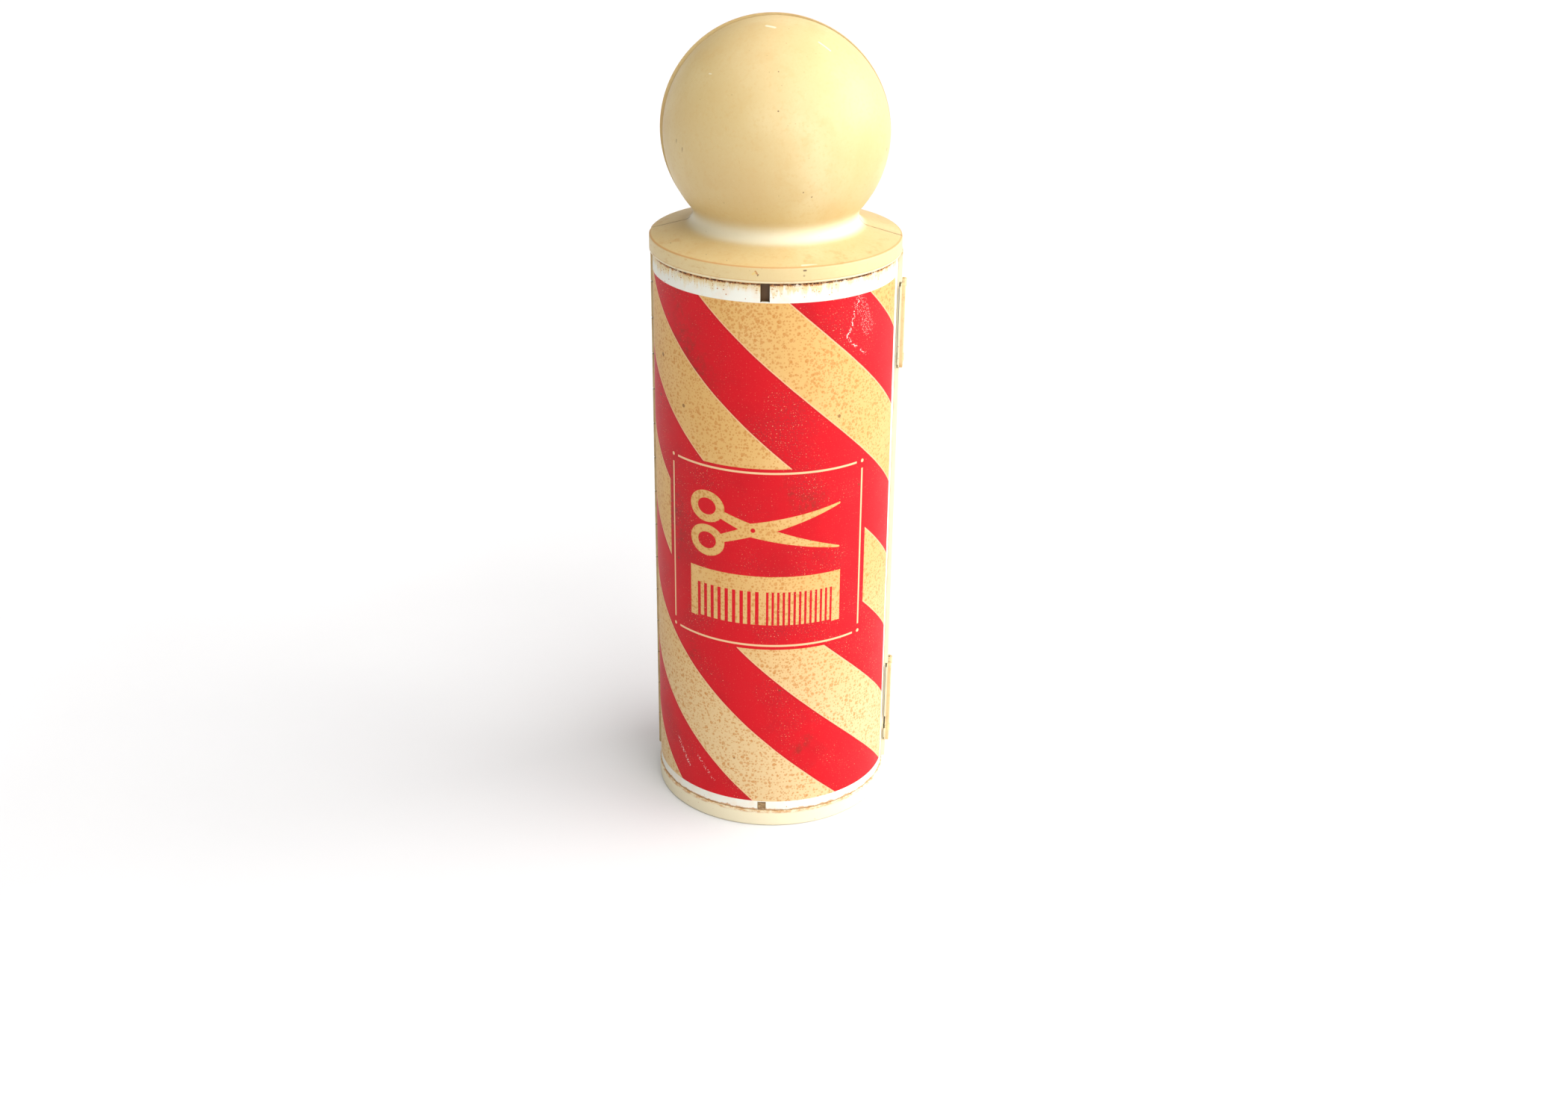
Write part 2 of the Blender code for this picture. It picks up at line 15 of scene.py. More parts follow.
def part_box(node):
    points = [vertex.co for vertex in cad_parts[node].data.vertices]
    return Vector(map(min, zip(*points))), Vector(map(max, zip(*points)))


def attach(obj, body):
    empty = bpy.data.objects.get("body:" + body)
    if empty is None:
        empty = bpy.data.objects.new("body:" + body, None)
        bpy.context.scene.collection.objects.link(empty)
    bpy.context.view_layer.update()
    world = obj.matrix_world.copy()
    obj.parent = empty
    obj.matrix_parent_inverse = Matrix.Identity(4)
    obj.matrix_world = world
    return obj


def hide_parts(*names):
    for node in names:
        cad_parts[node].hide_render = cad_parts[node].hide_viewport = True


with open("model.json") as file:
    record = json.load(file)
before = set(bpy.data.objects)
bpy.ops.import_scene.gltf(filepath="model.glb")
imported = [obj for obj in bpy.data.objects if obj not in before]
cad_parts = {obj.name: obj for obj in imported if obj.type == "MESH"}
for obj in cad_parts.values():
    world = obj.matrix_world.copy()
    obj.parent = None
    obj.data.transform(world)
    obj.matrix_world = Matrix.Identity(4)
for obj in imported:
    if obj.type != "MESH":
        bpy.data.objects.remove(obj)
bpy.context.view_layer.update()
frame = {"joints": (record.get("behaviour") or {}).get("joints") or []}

MM = 0.001
FAR = 80.0 * MM
TURN_STEPS = 192
SHARP_ANGLE = math.radians(32.0)

# Taken from the frame
SHELL_LOW, SHELL_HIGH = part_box("front_shell")
REAR_SHELL_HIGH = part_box("rear_shell")[1]
WRAP_LOW_CORNER, WRAP_HIGH_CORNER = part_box("front_wrap")
LEAF_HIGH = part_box("hinge_leaf_rear")[1]
PIN_LOW, PIN_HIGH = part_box("hinge_pin")
TRAY_LOW, TRAY_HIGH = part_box("clipper_tray")
JOINTS = {joint["name"]: joint for joint in frame["joints"]}
HINGE_X = JOINTS["case_hinge"]["pos_m"][0]
HINGE_OPENING = math.radians(JOINTS["case_hinge"]["range_deg"][1])
LATCH_X, LATCH_Y = JOINTS["latch_upper_hinge"]["pos_m"][:2]

HALF_GAP = -SHELL_HIGH.y
GAP = 2 * HALF_GAP
FLANGE_RADIUS = -SHELL_LOW.y
WRAP_RADIUS = -WRAP_LOW_CORNER.y
WRAP_LOW = WRAP_LOW_CORNER.z
WRAP_HIGH = WRAP_HIGH_CORNER.z
WRAP_EDGE = -WRAP_HIGH_CORNER.y
REAR_WRAP_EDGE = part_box("rear_wrap")[0].y
RIM_HEIGHT = WRAP_LOW - GAP
FLANGE_BOTTOM = WRAP_HIGH + GAP
LEAF_FAR = LEAF_HIGH.x
HINGE_LOW = PIN_LOW.z - GAP
HINGE_HIGH = PIN_HIGH.z + GAP
PIN_RADIUS = PIN_HIGH.y
KNUCKLE_RADIUS = LEAF_HIGH.y

# Known to the design, and not to be read off a box
BALL_RADIUS = 41.8 * MM
BALL_CENTRE = SHELL_HIGH.z - BALL_RADIUS
BALL_BEAD_RADIUS = REAR_SHELL_HIGH.z - BALL_CENTRE
BALL_BEAD_WIDTH = 1.6 * MM
BALL_BEAD_SHIFT = -0.7 * MM
BALL_BEAD_LOW = 243.0 * MM
FLANGE_TOP = FLANGE_BOTTOM + 5.8 * MM
CONE_SLOPE = math.radians(15.0)
NECK_FILLET = 4.5 * MM
RIM_RADIUS = 46.7 * MM
WRAP_SHEET = 0.3 * MM
SEAT_RADIUS = WRAP_RADIUS - WRAP_SHEET - 0.2 * MM
WALL = 2.2 * MM
CAVITY_RADIUS = SEAT_RADIUS - WALL
BASE_THICKNESS = 2.5 * MM
SEAM_FLANGE_RADIUS = 47.9 * MM
SEAM_FLANGE_LOW = 9.5 * MM
SEAM_FLANGE_HIGH = FLANGE_BOTTOM + GAP
FRONT_FLANGE_WIDTH = 2.3 * MM
REAR_FLANGE_WIDTH = 7.6 * MM
KNUCKLES = 15
KNUCKLE_BORE = PIN_RADIUS + 0.1 * MM
GROOVE_RADIUS = 1.6 * MM
LEAF_THICKNESS = 0.8 * MM
LEAF_NEAR = HINGE_X + 1.8 * MM
LAND_FAR = LEAF_FAR + 0.7 * MM
LAND_THICKNESS = 2.0 * MM
RIVET_X = -40.6 * MM
RIVET_RADIUS = 1.1 * MM
RIVET_HEAD_RADIUS = 2.2 * MM
RIVET_HEAD_HEIGHT = 1.0 * MM
RIVET_HEIGHTS = [(26.0 + 61.0 * i) * MM for i in range(4)]
LATCHES = ("upper", "lower")
LATCH_LIP = 0.3 * MM
CHIP_RISE = 5.0 * MM
CHIP_HEIGHT = 6.0 * MM
CHIP_DEPTH = 2.2 * MM
BARREL_RADIUS = 1.2 * MM
LUG_RADIUS = 1.45 * MM
LUG_HEIGHT = 3.0 * MM
POCKET_FLOOR = 46.5 * MM
KEEPER_TOP = 46.9 * MM
DECK_NEAR = TRAY_LOW.y
DECK_THICKNESS = 1.8 * MM
POCKET_HALF_WIDTH = 24.0 * MM
POCKET_WALL = 1.5 * MM
POCKET_DEPTH = TRAY_HIGH.y - POCKET_WALL
POCKET_CORNER = 3.5 * MM
REAR_POCKETS = ((11.5 * MM, 206.5 * MM),)
FRONT_POCKETS = ((11.5 * MM, 104.0 * MM), (114.0 * MM, 206.5 * MM))
BOSS_X = 30.5 * MM
BOSS_RADIUS = 3.2 * MM
BOSS_PLACES = [(x, z) for z in (24.0 * MM, 194.0 * MM) for x in (-BOSS_X, BOSS_X)]
PILOT_RADIUS = 1.2 * MM
PILOT_DEPTH = 9.0 * MM
SCREW_RADIUS = 1.0 * MM
SCREW_HEAD_RADIUS = 2.6 * MM
SCREW_HEAD_HEIGHT = 1.4 * MM
NOTCH_WIDTH = 3.4 * MM
TOP_NOTCH_HEIGHT = 7.2 * MM
BOTTOM_NOTCH_HEIGHT = 3.6 * MM
TAB_SLOT_DEPTH = 1.5 * MM
TAB_DEPTH = 1.3 * MM
TAB_CLEARANCE = 0.4 * MM

# Camera, fitted to the case's own circles
CAMERA_AZIMUTH = math.radians(4.5)
CAMERA_PAN = math.radians(0.36)
CAMERA_TILT = math.radians(25.05)
CAMERA_ROLL = math.radians(0.678)
CAMERA_REACH = 718.4 * MM
CAMERA_HEIGHT = 432.3 * MM
CAMERA_LENS = 45.07

# Lights: name, azimuth from the front towards +X, elevation, strength and width of the source
SUNS = (
    ("key", 37.0, 42.0, 1.15, 35.0),
    ("side", 90.0, 17.0, 3.7, 60.0),
    ("top", -60.0, 76.0, 0.9, 60.0),
    ("fill", 10.0, 6.0, 0.48, 50.0),
)


# ---------------------------------------------------------------- modelling helpers


def add_mesh(build, location=(0.0, 0.0, 0.0)):
    """An object from a function that fills a bmesh; finish_piece names the ones that stay."""
    mesh = bpy.data.meshes.new("tool")
    bm = bmesh.new()
    build(bm)
    bm.to_mesh(mesh)
    bm.free()
    mesh.transform(Matrix.Translation(location))
    obj = bpy.data.objects.new("tool", mesh)
    bpy.context.scene.collection.objects.link(obj)
    return obj


def remove(*objs):
    for obj in objs:
        bpy.data.objects.remove(obj, do_unlink=True)


def apply_modifiers(obj):
    """Replaces an object's mesh by what its modifiers make of it."""
    graph = bpy.context.evaluated_depsgraph_get()
    made = bpy.data.meshes.new_from_object(obj.evaluated_get(graph))
    obj.modifiers.clear()
    obj.data = made
    return obj


def combine(obj, operation, tools):
    """One exact Boolean with all the tools at once, which are then removed."""
    group = bpy.data.collections.new("tools")
    bpy.context.scene.collection.children.link(group)
    for tool in tools:
        group.objects.link(tool)
    modifier = obj.modifiers.new(operation.lower(), "BOOLEAN")
    modifier.operation = operation
    modifier.solver = "EXACT"
    modifier.operand_type = "COLLECTION"
    modifier.collection = group
    apply_modifiers(obj)
    remove(*tools)
    bpy.data.collections.remove(group)
    return obj


def cut(obj, *tools):
    return combine(obj, "DIFFERENCE", tools)


def join(obj, *tools):
    return combine(obj, "UNION", tools)


def keep_inside(obj, tool):
    return combine(obj, "INTERSECT", (tool,))


def soften(obj, width, segments=3, angle=30.0):
    """Rounds the sharp edges."""
    bevel = obj.modifiers.new("bevel", "BEVEL")
    bevel.width = width
    bevel.segments = segments
    bevel.limit_method = "ANGLE"
    bevel.angle_limit = math.radians(angle)
    bevel.use_clamp_overlap = True
    return apply_modifiers(obj)


def span(side, near, far):
    """Low and high y of a stretch that starts near the seam plane, on one side of it."""
    return (near, far) if side > 0 else (-far, -near)


def box(low, high):
    low, high = Vector(low), Vector(high)
    size = high - low

    def build(bm):
        bmesh.ops.create_cube(bm, size=1.0, matrix=Matrix.Diagonal((*size, 1.0)))

    return add_mesh(build, (low + high) / 2)


def cylinder(radius, start, end, segments=48):
    start, end = Vector(start), Vector(end)
    along = end - start
    turn = along.to_track_quat("Z", "Y").to_matrix().to_4x4()

    def build(bm):
        bmesh.ops.create_cone(
            bm,
            cap_ends=True,
            segments=segments,
            radius1=radius,
            radius2=radius,
            depth=along.length,
            matrix=turn,
        )

    return add_mesh(build, (start + end) / 2)


def revolve(profile, closed=False, steps=TURN_STEPS):
    """Turns a profile of (radius, height) points, which runs down its outer side, about Z."""

    def build(bm):
        rings = []
        for radius, height in profile:
            if radius < 1e-7:
                rings.append([bm.verts.new((0.0, 0.0, height))] * steps)
                continue
            ring = []
            for i in range(steps):
                angle = math.tau * i / steps
                ring.append(
                    bm.verts.new((radius * math.cos(angle), radius * math.sin(angle), height))
                )
            rings.append(ring)
        pairs = list(zip(rings, rings[1:]))
        if closed:
            pairs.append((rings[-1], rings[0]))
        for upper, lower in pairs:
            for i in range(steps):
                j = (i + 1) % steps
                corners = [upper[i], lower[i], lower[j], upper[j]]
                bm.faces.new(list(dict.fromkeys(corners)))

    return add_mesh(build)


def turned(profile, start, direction, steps=32):
    """A small turned piece: (radius, distance) points along a direction from a start point."""
    obj = revolve([(radius, -along) for radius, along in profile], steps=steps)
    turn = Vector(direction).to_track_quat("-Z", "Y").to_matrix().to_4x4()
    obj.data.transform(Matrix.Translation(start) @ turn)
    return obj


def arc(centre, radius, start, end, count):
    """Points on a circle in the (radius, height) plane, both ends included."""
    points = []
    for i in range(count + 1):
        angle = start + (end - start) * i / count
        points.append(
            (centre[0] + radius * math.cos(angle), centre[1] + radius * math.sin(angle))
        )
    return points


def finish_piece(obj, name, body, material, node):
    """Names and shades a piece, gives it its material and lets it stand for its CAD node."""
    obj.name = name
    obj.data.name = name
    obj.data.shade_smooth()
    obj.data.set_sharp_from_angle(angle=SHARP_ANGLE)
    obj.data.materials.clear()
    obj.data.materials.append(material)
    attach(obj, body)
    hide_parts(node)
    return obj


# ---------------------------------------------------------------- shells


def head_profile(inset):
    """Ball, neck fillet and the start of the cone, from the top down, set in by inset."""
    ball = BALL_RADIUS - inset
    fillet = NECK_FILLET + inset
    along = Vector((-math.cos(CONE_SLOPE), math.sin(CONE_SLOPE)))
    normal = Vector((math.sin(CONE_SLOPE), math.cos(CONE_SLOPE)))
    centre = Vector((0.0, BALL_CENTRE))
    start = Vector((FLANGE_RADIUS, FLANGE_TOP)) + normal * NECK_FILLET - centre
    reach = BALL_RADIUS + NECK_FILLET
    slide = -start.dot(along) - math.sqrt(
        start.dot(along) ** 2 - start.length_squared + reach**2
    )
    fillet_centre = centre + start + along * slide
    towards = fillet_centre - centre
    touch = math.atan2(towards.y, towards.x)
    leave = math.atan2(-normal.y, -normal.x)
    if leave < 0:
        leave += math.tau
    points = arc(centre, ball, math.pi / 2, touch, 64)
    points += arc(fillet_centre, fillet, touch + math.pi, leave, 14)
    points[0] = (0.0, BALL_CENTRE + ball)
    return points


def top_corner(radius, height, size, count=5):
    """The outer corner at the top of a band, rounded."""
    return arc((radius - size, height - size), size, math.pi / 2, 0.0, count)


def foot_corner(radius, height, size, count=5):
    """The outer corner at the foot of a band, rounded."""
    return arc((radius - size, height + size), size, 0.0, -math.pi / 2, count)


def outer_profile():
    """The whole outside: ball, neck, flange, seat of the wrap, rim and underside."""
    edge = 0.8 * MM
    drop = edge * (1 - math.sin(CONE_SLOPE)) / math.cos(CONE_SLOPE)
    centre = (FLANGE_RADIUS - edge, FLANGE_TOP - drop)
    flange_edge = arc(centre, edge, math.pi / 2 - CONE_SLOPE, 0.0, 8)
    return (
        head_profile(0.0)
        + flange_edge
        + foot_corner(FLANGE_RADIUS, FLANGE_BOTTOM, 0.35 * MM)
        + [(SEAT_RADIUS, FLANGE_BOTTOM), (SEAT_RADIUS, RIM_HEIGHT)]
        + top_corner(RIM_RADIUS, RIM_HEIGHT, 0.5 * MM)
        + foot_corner(RIM_RADIUS, 0.0, 0.9 * MM)
        + [(0.0, 0.0)]
    )


def inner_profile():
    drop = WALL / math.cos(CONE_SLOPE)
    run = FLANGE_RADIUS - CAVITY_RADIUS
    corner = FLANGE_TOP + run * math.tan(CONE_SLOPE) - drop
    fillet = 1.5 * MM
    floor_corner = arc(
        (CAVITY_RADIUS - fillet, BASE_THICKNESS + fillet), fillet, 0.0, -math.pi / 2, 6
    )
    return head_profile(WALL) + [(CAVITY_RADIUS, corner)] + floor_corner + [(0.0, BASE_THICKNESS)]


def half_space(side, near):
    low, high = span(side, near, FAR)
    return box((-FAR, low, -FAR), (FAR, high, 5 * FAR))


def seam_flange(side, width):
    """The raised band beside the seam on the latch side, with a rounded outer face."""
    outer = SEAM_FLANGE_RADIUS
    inner = CAVITY_RADIUS + 0.5 * MM
    edge = 0.3 * MM
    profile = top_corner(outer, SEAM_FLANGE_HIGH, edge, 3)
    profile += foot_corner(outer, SEAM_FLANGE_LOW, edge, 3)
    profile += [(inner, SEAM_FLANGE_LOW), (inner, SEAM_FLANGE_HIGH)]
    ring = revolve(profile, closed=True)
    low, high = span(side, -MM, width)
    return keep_inside(ring, box((0.0, low, 0.0), (FAR, high, 4 * FAR)))


def cavity(side):
    """The hollow of a shell, without the hinge land and the screw bosses."""
    near = LEAF_THICKNESS + HALF_GAP + GAP
    low, high = span(side, near, near + LAND_THICKNESS)
    kept = [box((-FAR, low, SEAM_FLANGE_LOW), (LAND_FAR, high, HINGE_HIGH))]
    start = side * (DECK_NEAR + DECK_THICKNESS + GAP)
    for x, z in BOSS_PLACES:
        kept.append(cylinder(BOSS_RADIUS, (x, start, z), (x, side * FAR, z)))
    return cut(revolve(inner_profile()), *kept)


def hinge_relief(side):
    """The wedge outside the hinge axis that the other half swings into."""
    half_angle = HINGE_OPENING / 2 + math.radians(2.0)
    reach = 12.0 * MM
    inner = Vector((HINGE_X, 0.0))
    outer = inner + reach * Vector((-math.cos(half_angle), side * math.sin(half_angle)))
    straight = inner + reach * Vector((-1.0, -side * 0.5))
    corners = [inner + Vector((0.0, -side * 6.0 * MM)), straight, outer, inner]

    def build(bm):
        bottom = [bm.verts.new((x, y, -10.0 * MM)) for x, y in corners]
        if side < 0:
            bottom.reverse()
        face = bm.faces.new(bottom)
        grown = bmesh.ops.extrude_face_region(bm, geom=[face])
        risen = [item for item in grown["geom"] if isinstance(item, bmesh.types.BMVert)]
        bmesh.ops.translate(bm, vec=(0.0, 0.0, 5 * FAR), verts=risen)
        bmesh.ops.recalc_face_normals(bm, faces=bm.faces)

    return add_mesh(build)


def latch_range(where):
    """Low and high z of a latch plate."""
    low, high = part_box(f"latch_plate_{where}")
    return low.z, high.z


def latch_pocket(side, where):
    bottom, top = latch_range(where)
    floor = POCKET_FLOOR if side > 0 else KEEPER_TOP
    low, high = span(side, -MM, REAR_FLANGE_WIDTH + MM)
    return box((floor, low, bottom - 2 * GAP), (FAR, high, top + 2 * GAP))


def latch_lugs(where):
    """The two round lugs that hold a latch pin, and the webs that carry them."""
    bottom, top = latch_range(where)
    half = LUG_RADIUS - 0.03 * MM
    made = []
    for low in (bottom, top - LUG_HEIGHT):
        high = low + LUG_HEIGHT
        made.append(cylinder(LUG_RADIUS, (LATCH_X, LATCH_Y, low), (LATCH_X, LATCH_Y, high)))
        corner = (CAVITY_RADIUS + MM, LATCH_Y - half, low + 0.02 * MM)
        made.append(box(corner, (LATCH_X, LATCH_Y + half, high - 0.02 * MM)))
    return made


def rivet_holes(side):
    """Cutters for the rivets' holes, through the leaf and the land behind it."""
    made = []
    for z in RIVET_HEIGHTS:
        start = (RIVET_X, -side * MM, z)
        end = (RIVET_X, side * 8.0 * MM, z)
        made.append(cylinder(RIVET_RADIUS + 0.2 * MM, start, end, 32))
    return made


def shell_holes(side):
    """Everything that is cut out of a shell besides its cavity."""
    low, high = span(side, -MM, LEAF_THICKNESS + HALF_GAP + GAP)
    groove_low = (HINGE_X, 0.0, SEAM_FLANGE_LOW - 0.1 * MM)
    groove_high = (HINGE_X, 0.0, HINGE_HIGH + 0.1 * MM)
    tools = [
        box((HINGE_X, low, HINGE_LOW), (LEAF_FAR + GAP, high, HINGE_HIGH)),
        hinge_relief(side),
        cylinder(GROOVE_RADIUS, groove_low, groove_high),
        *rivet_holes(side),
    ]
    end = side * (DECK_NEAR + DECK_THICKNESS + PILOT_DEPTH)
    for x, z in BOSS_PLACES:
        tools.append(cylinder(PILOT_RADIUS, (x, side * DECK_NEAR, z), (x, end, z), 24))
    half = NOTCH_WIDTH / 2
    low, high = span(side, SEAT_RADIUS - TAB_SLOT_DEPTH, FAR)
    bottom = FLANGE_BOTTOM - TOP_NOTCH_HEIGHT - TAB_CLEARANCE
    tools.append(box((-half, low, bottom), (half, high, FLANGE_BOTTOM - 0.1 * MM)))
    return tools


def bottom_key(side):
    """The small key on the shell that sits in the bottom notch of the wrap."""
    half = NOTCH_WIDTH / 2 - GAP
    low, high = span(side, SEAT_RADIUS - MM, WRAP_RADIUS - 0.1 * MM)
    top = WRAP_LOW + BOTTOM_NOTCH_HEIGHT - GAP
    return box((-half, low, RIM_HEIGHT - 0.5 * MM), (half, high, top))


def ball_bead():
    """The raised, rounded edge round the rear half of the ball, at the seam."""
    edge = 0.35 * MM
    steps = [(BALL_BEAD_RADIUS - edge, 0.0)]
    steps += [(BALL_BEAD_RADIUS, edge), (BALL_BEAD_RADIUS, BALL_BEAD_WIDTH + MM - edge)]
    steps.append((BALL_BEAD_RADIUS - edge, BALL_BEAD_WIDTH + MM))
    profile = [(0.0, 0.0)] + steps + [(0.0, BALL_BEAD_WIDTH + MM)]
    start = (BALL_BEAD_SHIFT, -MM, BALL_CENTRE)
    ring = turned(profile, start, (0.0, 1.0, 0.0), TURN_STEPS)
    return keep_inside(ring, box((-FAR, -FAR, BALL_BEAD_LOW), (FAR, FAR, 5 * FAR)))


def shell(label, side, material):
    """One half of the case; the rear one also carries the ball's edge and the latch lugs."""
    obj = revolve(outer_profile())
    width = REAR_FLANGE_WIDTH if side > 0 else FRONT_FLANGE_WIDTH
    extras = [seam_flange(side, width), bottom_key(side)]
    if side > 0:
        extras.append(ball_bead())
    join(obj, *extras)
    keep_inside(obj, half_space(side, HALF_GAP))
    cut(obj, cavity(side))
    pockets = [latch_pocket(side, where) for where in LATCHES]
    cut(obj, *shell_holes(side), *pockets)
    if side > 0:
        for where in LATCHES:
            join(obj, *latch_lugs(where))
            bottom, top = latch_range(where)
            ends = [(LATCH_X, LATCH_Y, z) for z in (bottom - MM, top + MM)]
            cut(obj, cylinder(KNUCKLE_BORE, *ends, 24))
    name = f"{label}_case_shell"
    return finish_piece(
        obj, name, f"{label}_case", material, f"{label}_shell"
    )


# ---------------------------------------------------------------- tin wraps


def wrap(label, side, edge, material):
    """The printed tin sheet round one half, with its notches and its folded tab."""
    inner = WRAP_RADIUS - WRAP_SHEET
    profile = [(WRAP_RADIUS, WRAP_HIGH), (WRAP_RADIUS, WRAP_LOW)]
    profile += [(inner, WRAP_LOW), (inner, WRAP_HIGH)]
    obj = revolve(profile, closed=True)
    keep_inside(obj, half_space(side, edge))
    half = NOTCH_WIDTH / 2
    low, high = span(side, CAVITY_RADIUS, FAR)
    notch_floor = FLANGE_BOTTOM - TOP_NOTCH_HEIGHT
    notch_top = WRAP_LOW + BOTTOM_NOTCH_HEIGHT
    cut(
        obj,
        box((-half, low, notch_floor), (half, high, FLANGE_TOP)),
        box((-half, low, 0.0), (half, high, notch_top)),
    )
    half -= TAB_CLEARANCE
    low, high = span(side, WRAP_RADIUS - TAB_DEPTH, WRAP_RADIUS - 0.1 * MM)
    top = notch_floor + WRAP_SHEET / 2
    join(obj, box((-half, low, top - WRAP_SHEET), (half, high, top)))
    name = f"{label}_tin_wrap"
    return finish_piece(obj, name, f"{label}_case", material, f"{label}_wrap")


# ---------------------------------------------------------------- hinge


def knuckle_ends(own):
    """Low and high ends of the knuckles that belong to the leaf with this parity."""
    pitch = (HINGE_HIGH - HINGE_LOW) / KNUCKLES
    lows = [HINGE_LOW + number * pitch for number in range(own, KNUCKLES, 2)]
    return [(low + HALF_GAP, low + pitch - HALF_GAP) for low in lows]


def knuckle(bottom, top):
    """A rolled knuckle: a thick tube with rounded ends."""
    edge = 0.15 * MM
    outer = KNUCKLE_RADIUS
    profile = [(outer - edge, top), (outer, top - edge), (outer, bottom + edge)]
    profile += [(outer - edge, bottom), (KNUCKLE_BORE, bottom), (KNUCKLE_BORE, top)]
    obj = revolve(profile, closed=True, steps=32)
    obj.data.transform(Matrix.Translation((HINGE_X, 0.0, 0.0)))
    return obj


def hinge_leaf(label, side, own, material):
    """A flat leaf with its rolled knuckles and its rivet holes."""
    low, high = span(side, HALF_GAP, HALF_GAP + LEAF_THICKNESS)
    obj = box((LEAF_NEAR, low, HINGE_LOW + 2 * GAP), (LEAF_FAR, high, HINGE_HIGH - 2 * GAP))
    soften(obj, 0.15 * MM, 2)
    inset = 0.01 * MM
    near = HINGE_X + KNUCKLE_BORE + 0.05 * MM
    parts = []
    for bottom, top in knuckle_ends(own):
        corner = (LEAF_NEAR + MM, high - inset, top - GAP)
        parts.append(box((near, low + inset, bottom + GAP), corner))
        parts.append(knuckle(bottom, top))
    join(obj, *parts)
    cut(obj, *rivet_holes(side))
    name = f"{label}_hinge_leaf"
    return finish_piece(
        obj, name, f"{label}_case", material, f"hinge_leaf_{label}"
    )


def rivet(label, side, number, z, material):
    """A rivet, flush with the leaf, with a domed head inside the shell."""
    shank = LEAF_THICKNESS + LAND_THICKNESS + 3 * GAP - 2 * HALF_GAP
    head = RIVET_HEAD_HEIGHT + 0.1 * MM
    profile = [(0.0, 0.0), (RIVET_RADIUS - 0.1 * MM, 0.0), (RIVET_RADIUS, 0.1 * MM)]
    profile += [(RIVET_RADIUS, shank), (RIVET_HEAD_RADIUS, shank)]
    for i in range(1, 7):
        angle = math.pi / 2 * i / 6
        profile.append((RIVET_HEAD_RADIUS * math.cos(angle), shank + head * math.sin(angle)))
    profile[-1] = (0.0, shank + head)
    obj = turned(profile, (RIVET_X, side * 2 * HALF_GAP, z), (0.0, side, 0.0))
    name = f"{label}_rivet_{number}"
    node = f"hinge_rivet_{label}_{number}"
    return finish_piece(obj, name, f"{label}_case", material, node)


def upright_pin(name, node, material):
    """A straight pin with rounded ends, as long as its CAD node."""
    low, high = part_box(node)
    edge = 0.2 * MM
    radius = (high.x - low.x) / 2
    length = high.z - low.z
    profile = [(0.0, 0.0), (radius - edge, 0.0), (radius, edge), (radius, length - edge)]
    profile += [(radius - edge, length), (0.0, length)]
    start = ((low.x + high.x) / 2, (low.y + high.y) / 2, low.z)
    obj = turned(profile, start, (0.0, 0.0, 1.0))
    return finish_piece(obj, name, "rear_case", material, node)


# ---------------------------------------------------------------- latches


def latch_plate(where, material):
    """A rounded plate with a hinge barrel at its back edge and a lip at its front edge."""
    plate_low, plate_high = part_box(f"latch_plate_{where}")
    inner = plate_low.x + 2 * LATCH_LIP
    bottom, top = plate_low.z, plate_high.z
    back = LATCH_Y - LUG_RADIUS - 0.35 * MM
    obj = box((inner, plate_low.y, bottom), (plate_high.x, back, top))
    lips = [(bottom + MM, top - MM)]
    if where == "lower":
        chip_low = bottom + CHIP_RISE
        chip_high = chip_low + CHIP_HEIGHT
        corner = (FAR, plate_low.y + CHIP_DEPTH, chip_high)
        cut(obj, box((POCKET_FLOOR, plate_low.y - MM, chip_low), corner))
        lips = [(bottom + MM, chip_low), (chip_high, top - MM)]
    soften(obj, 0.35 * MM, 3)
    low = bottom + LUG_HEIGHT + GAP
    high = top - LUG_HEIGHT - GAP
    barrel = [(LATCH_X, LATCH_Y, z) for z in (low - 0.02 * MM, high + 0.02 * MM)]
    neck = (inner + 0.02 * MM, back - MM, low)
    parts = [
        box(neck, (plate_high.x - 0.12 * MM, LATCH_Y, high)),
        cylinder(BARREL_RADIUS, *barrel),
    ]
    for lip_low, lip_high in lips:
        corner = (inner - LATCH_LIP, plate_low.y + 0.12 * MM, lip_low)
        parts.append(box(corner, (inner + LATCH_LIP, plate_low.y + 0.7 * MM, lip_high)))
    join(obj, *parts)
    cut(obj, cylinder(KNUCKLE_BORE, (LATCH_X, LATCH_Y, 0.0), (LATCH_X, LATCH_Y, FLANGE_TOP), 24))
    name = f"{where}_latch_plate"
    node = f"latch_plate_{where}"
    return finish_piece(obj, name, f"latch_{where}", material, node)


# ---------------------------------------------------------------- trays


def rounded_box(low, high, corner, deep_side):
    """A box with rounded upright edges and a rounded edge round its deep face."""
    obj = box(low, high)
    mesh = obj.data
    bm = bmesh.new()
    bm.from_mesh(mesh)
    deep = high[1] if deep_side > 0 else low[1]
    chosen = []
    for edge in bm.edges:
        along = edge.verts[1].co - edge.verts[0].co
        at_deep = all(abs(vert.co.y - deep) < 1e-7 for vert in edge.verts)
        if abs(along.y) > 1e-7 or at_deep:
            chosen.append(edge)
    bmesh.ops.bevel(bm, geom=chosen, offset=corner, segments=6, profile=0.5, affect="EDGES")
    bm.to_mesh(mesh)
    bm.free()
    return obj


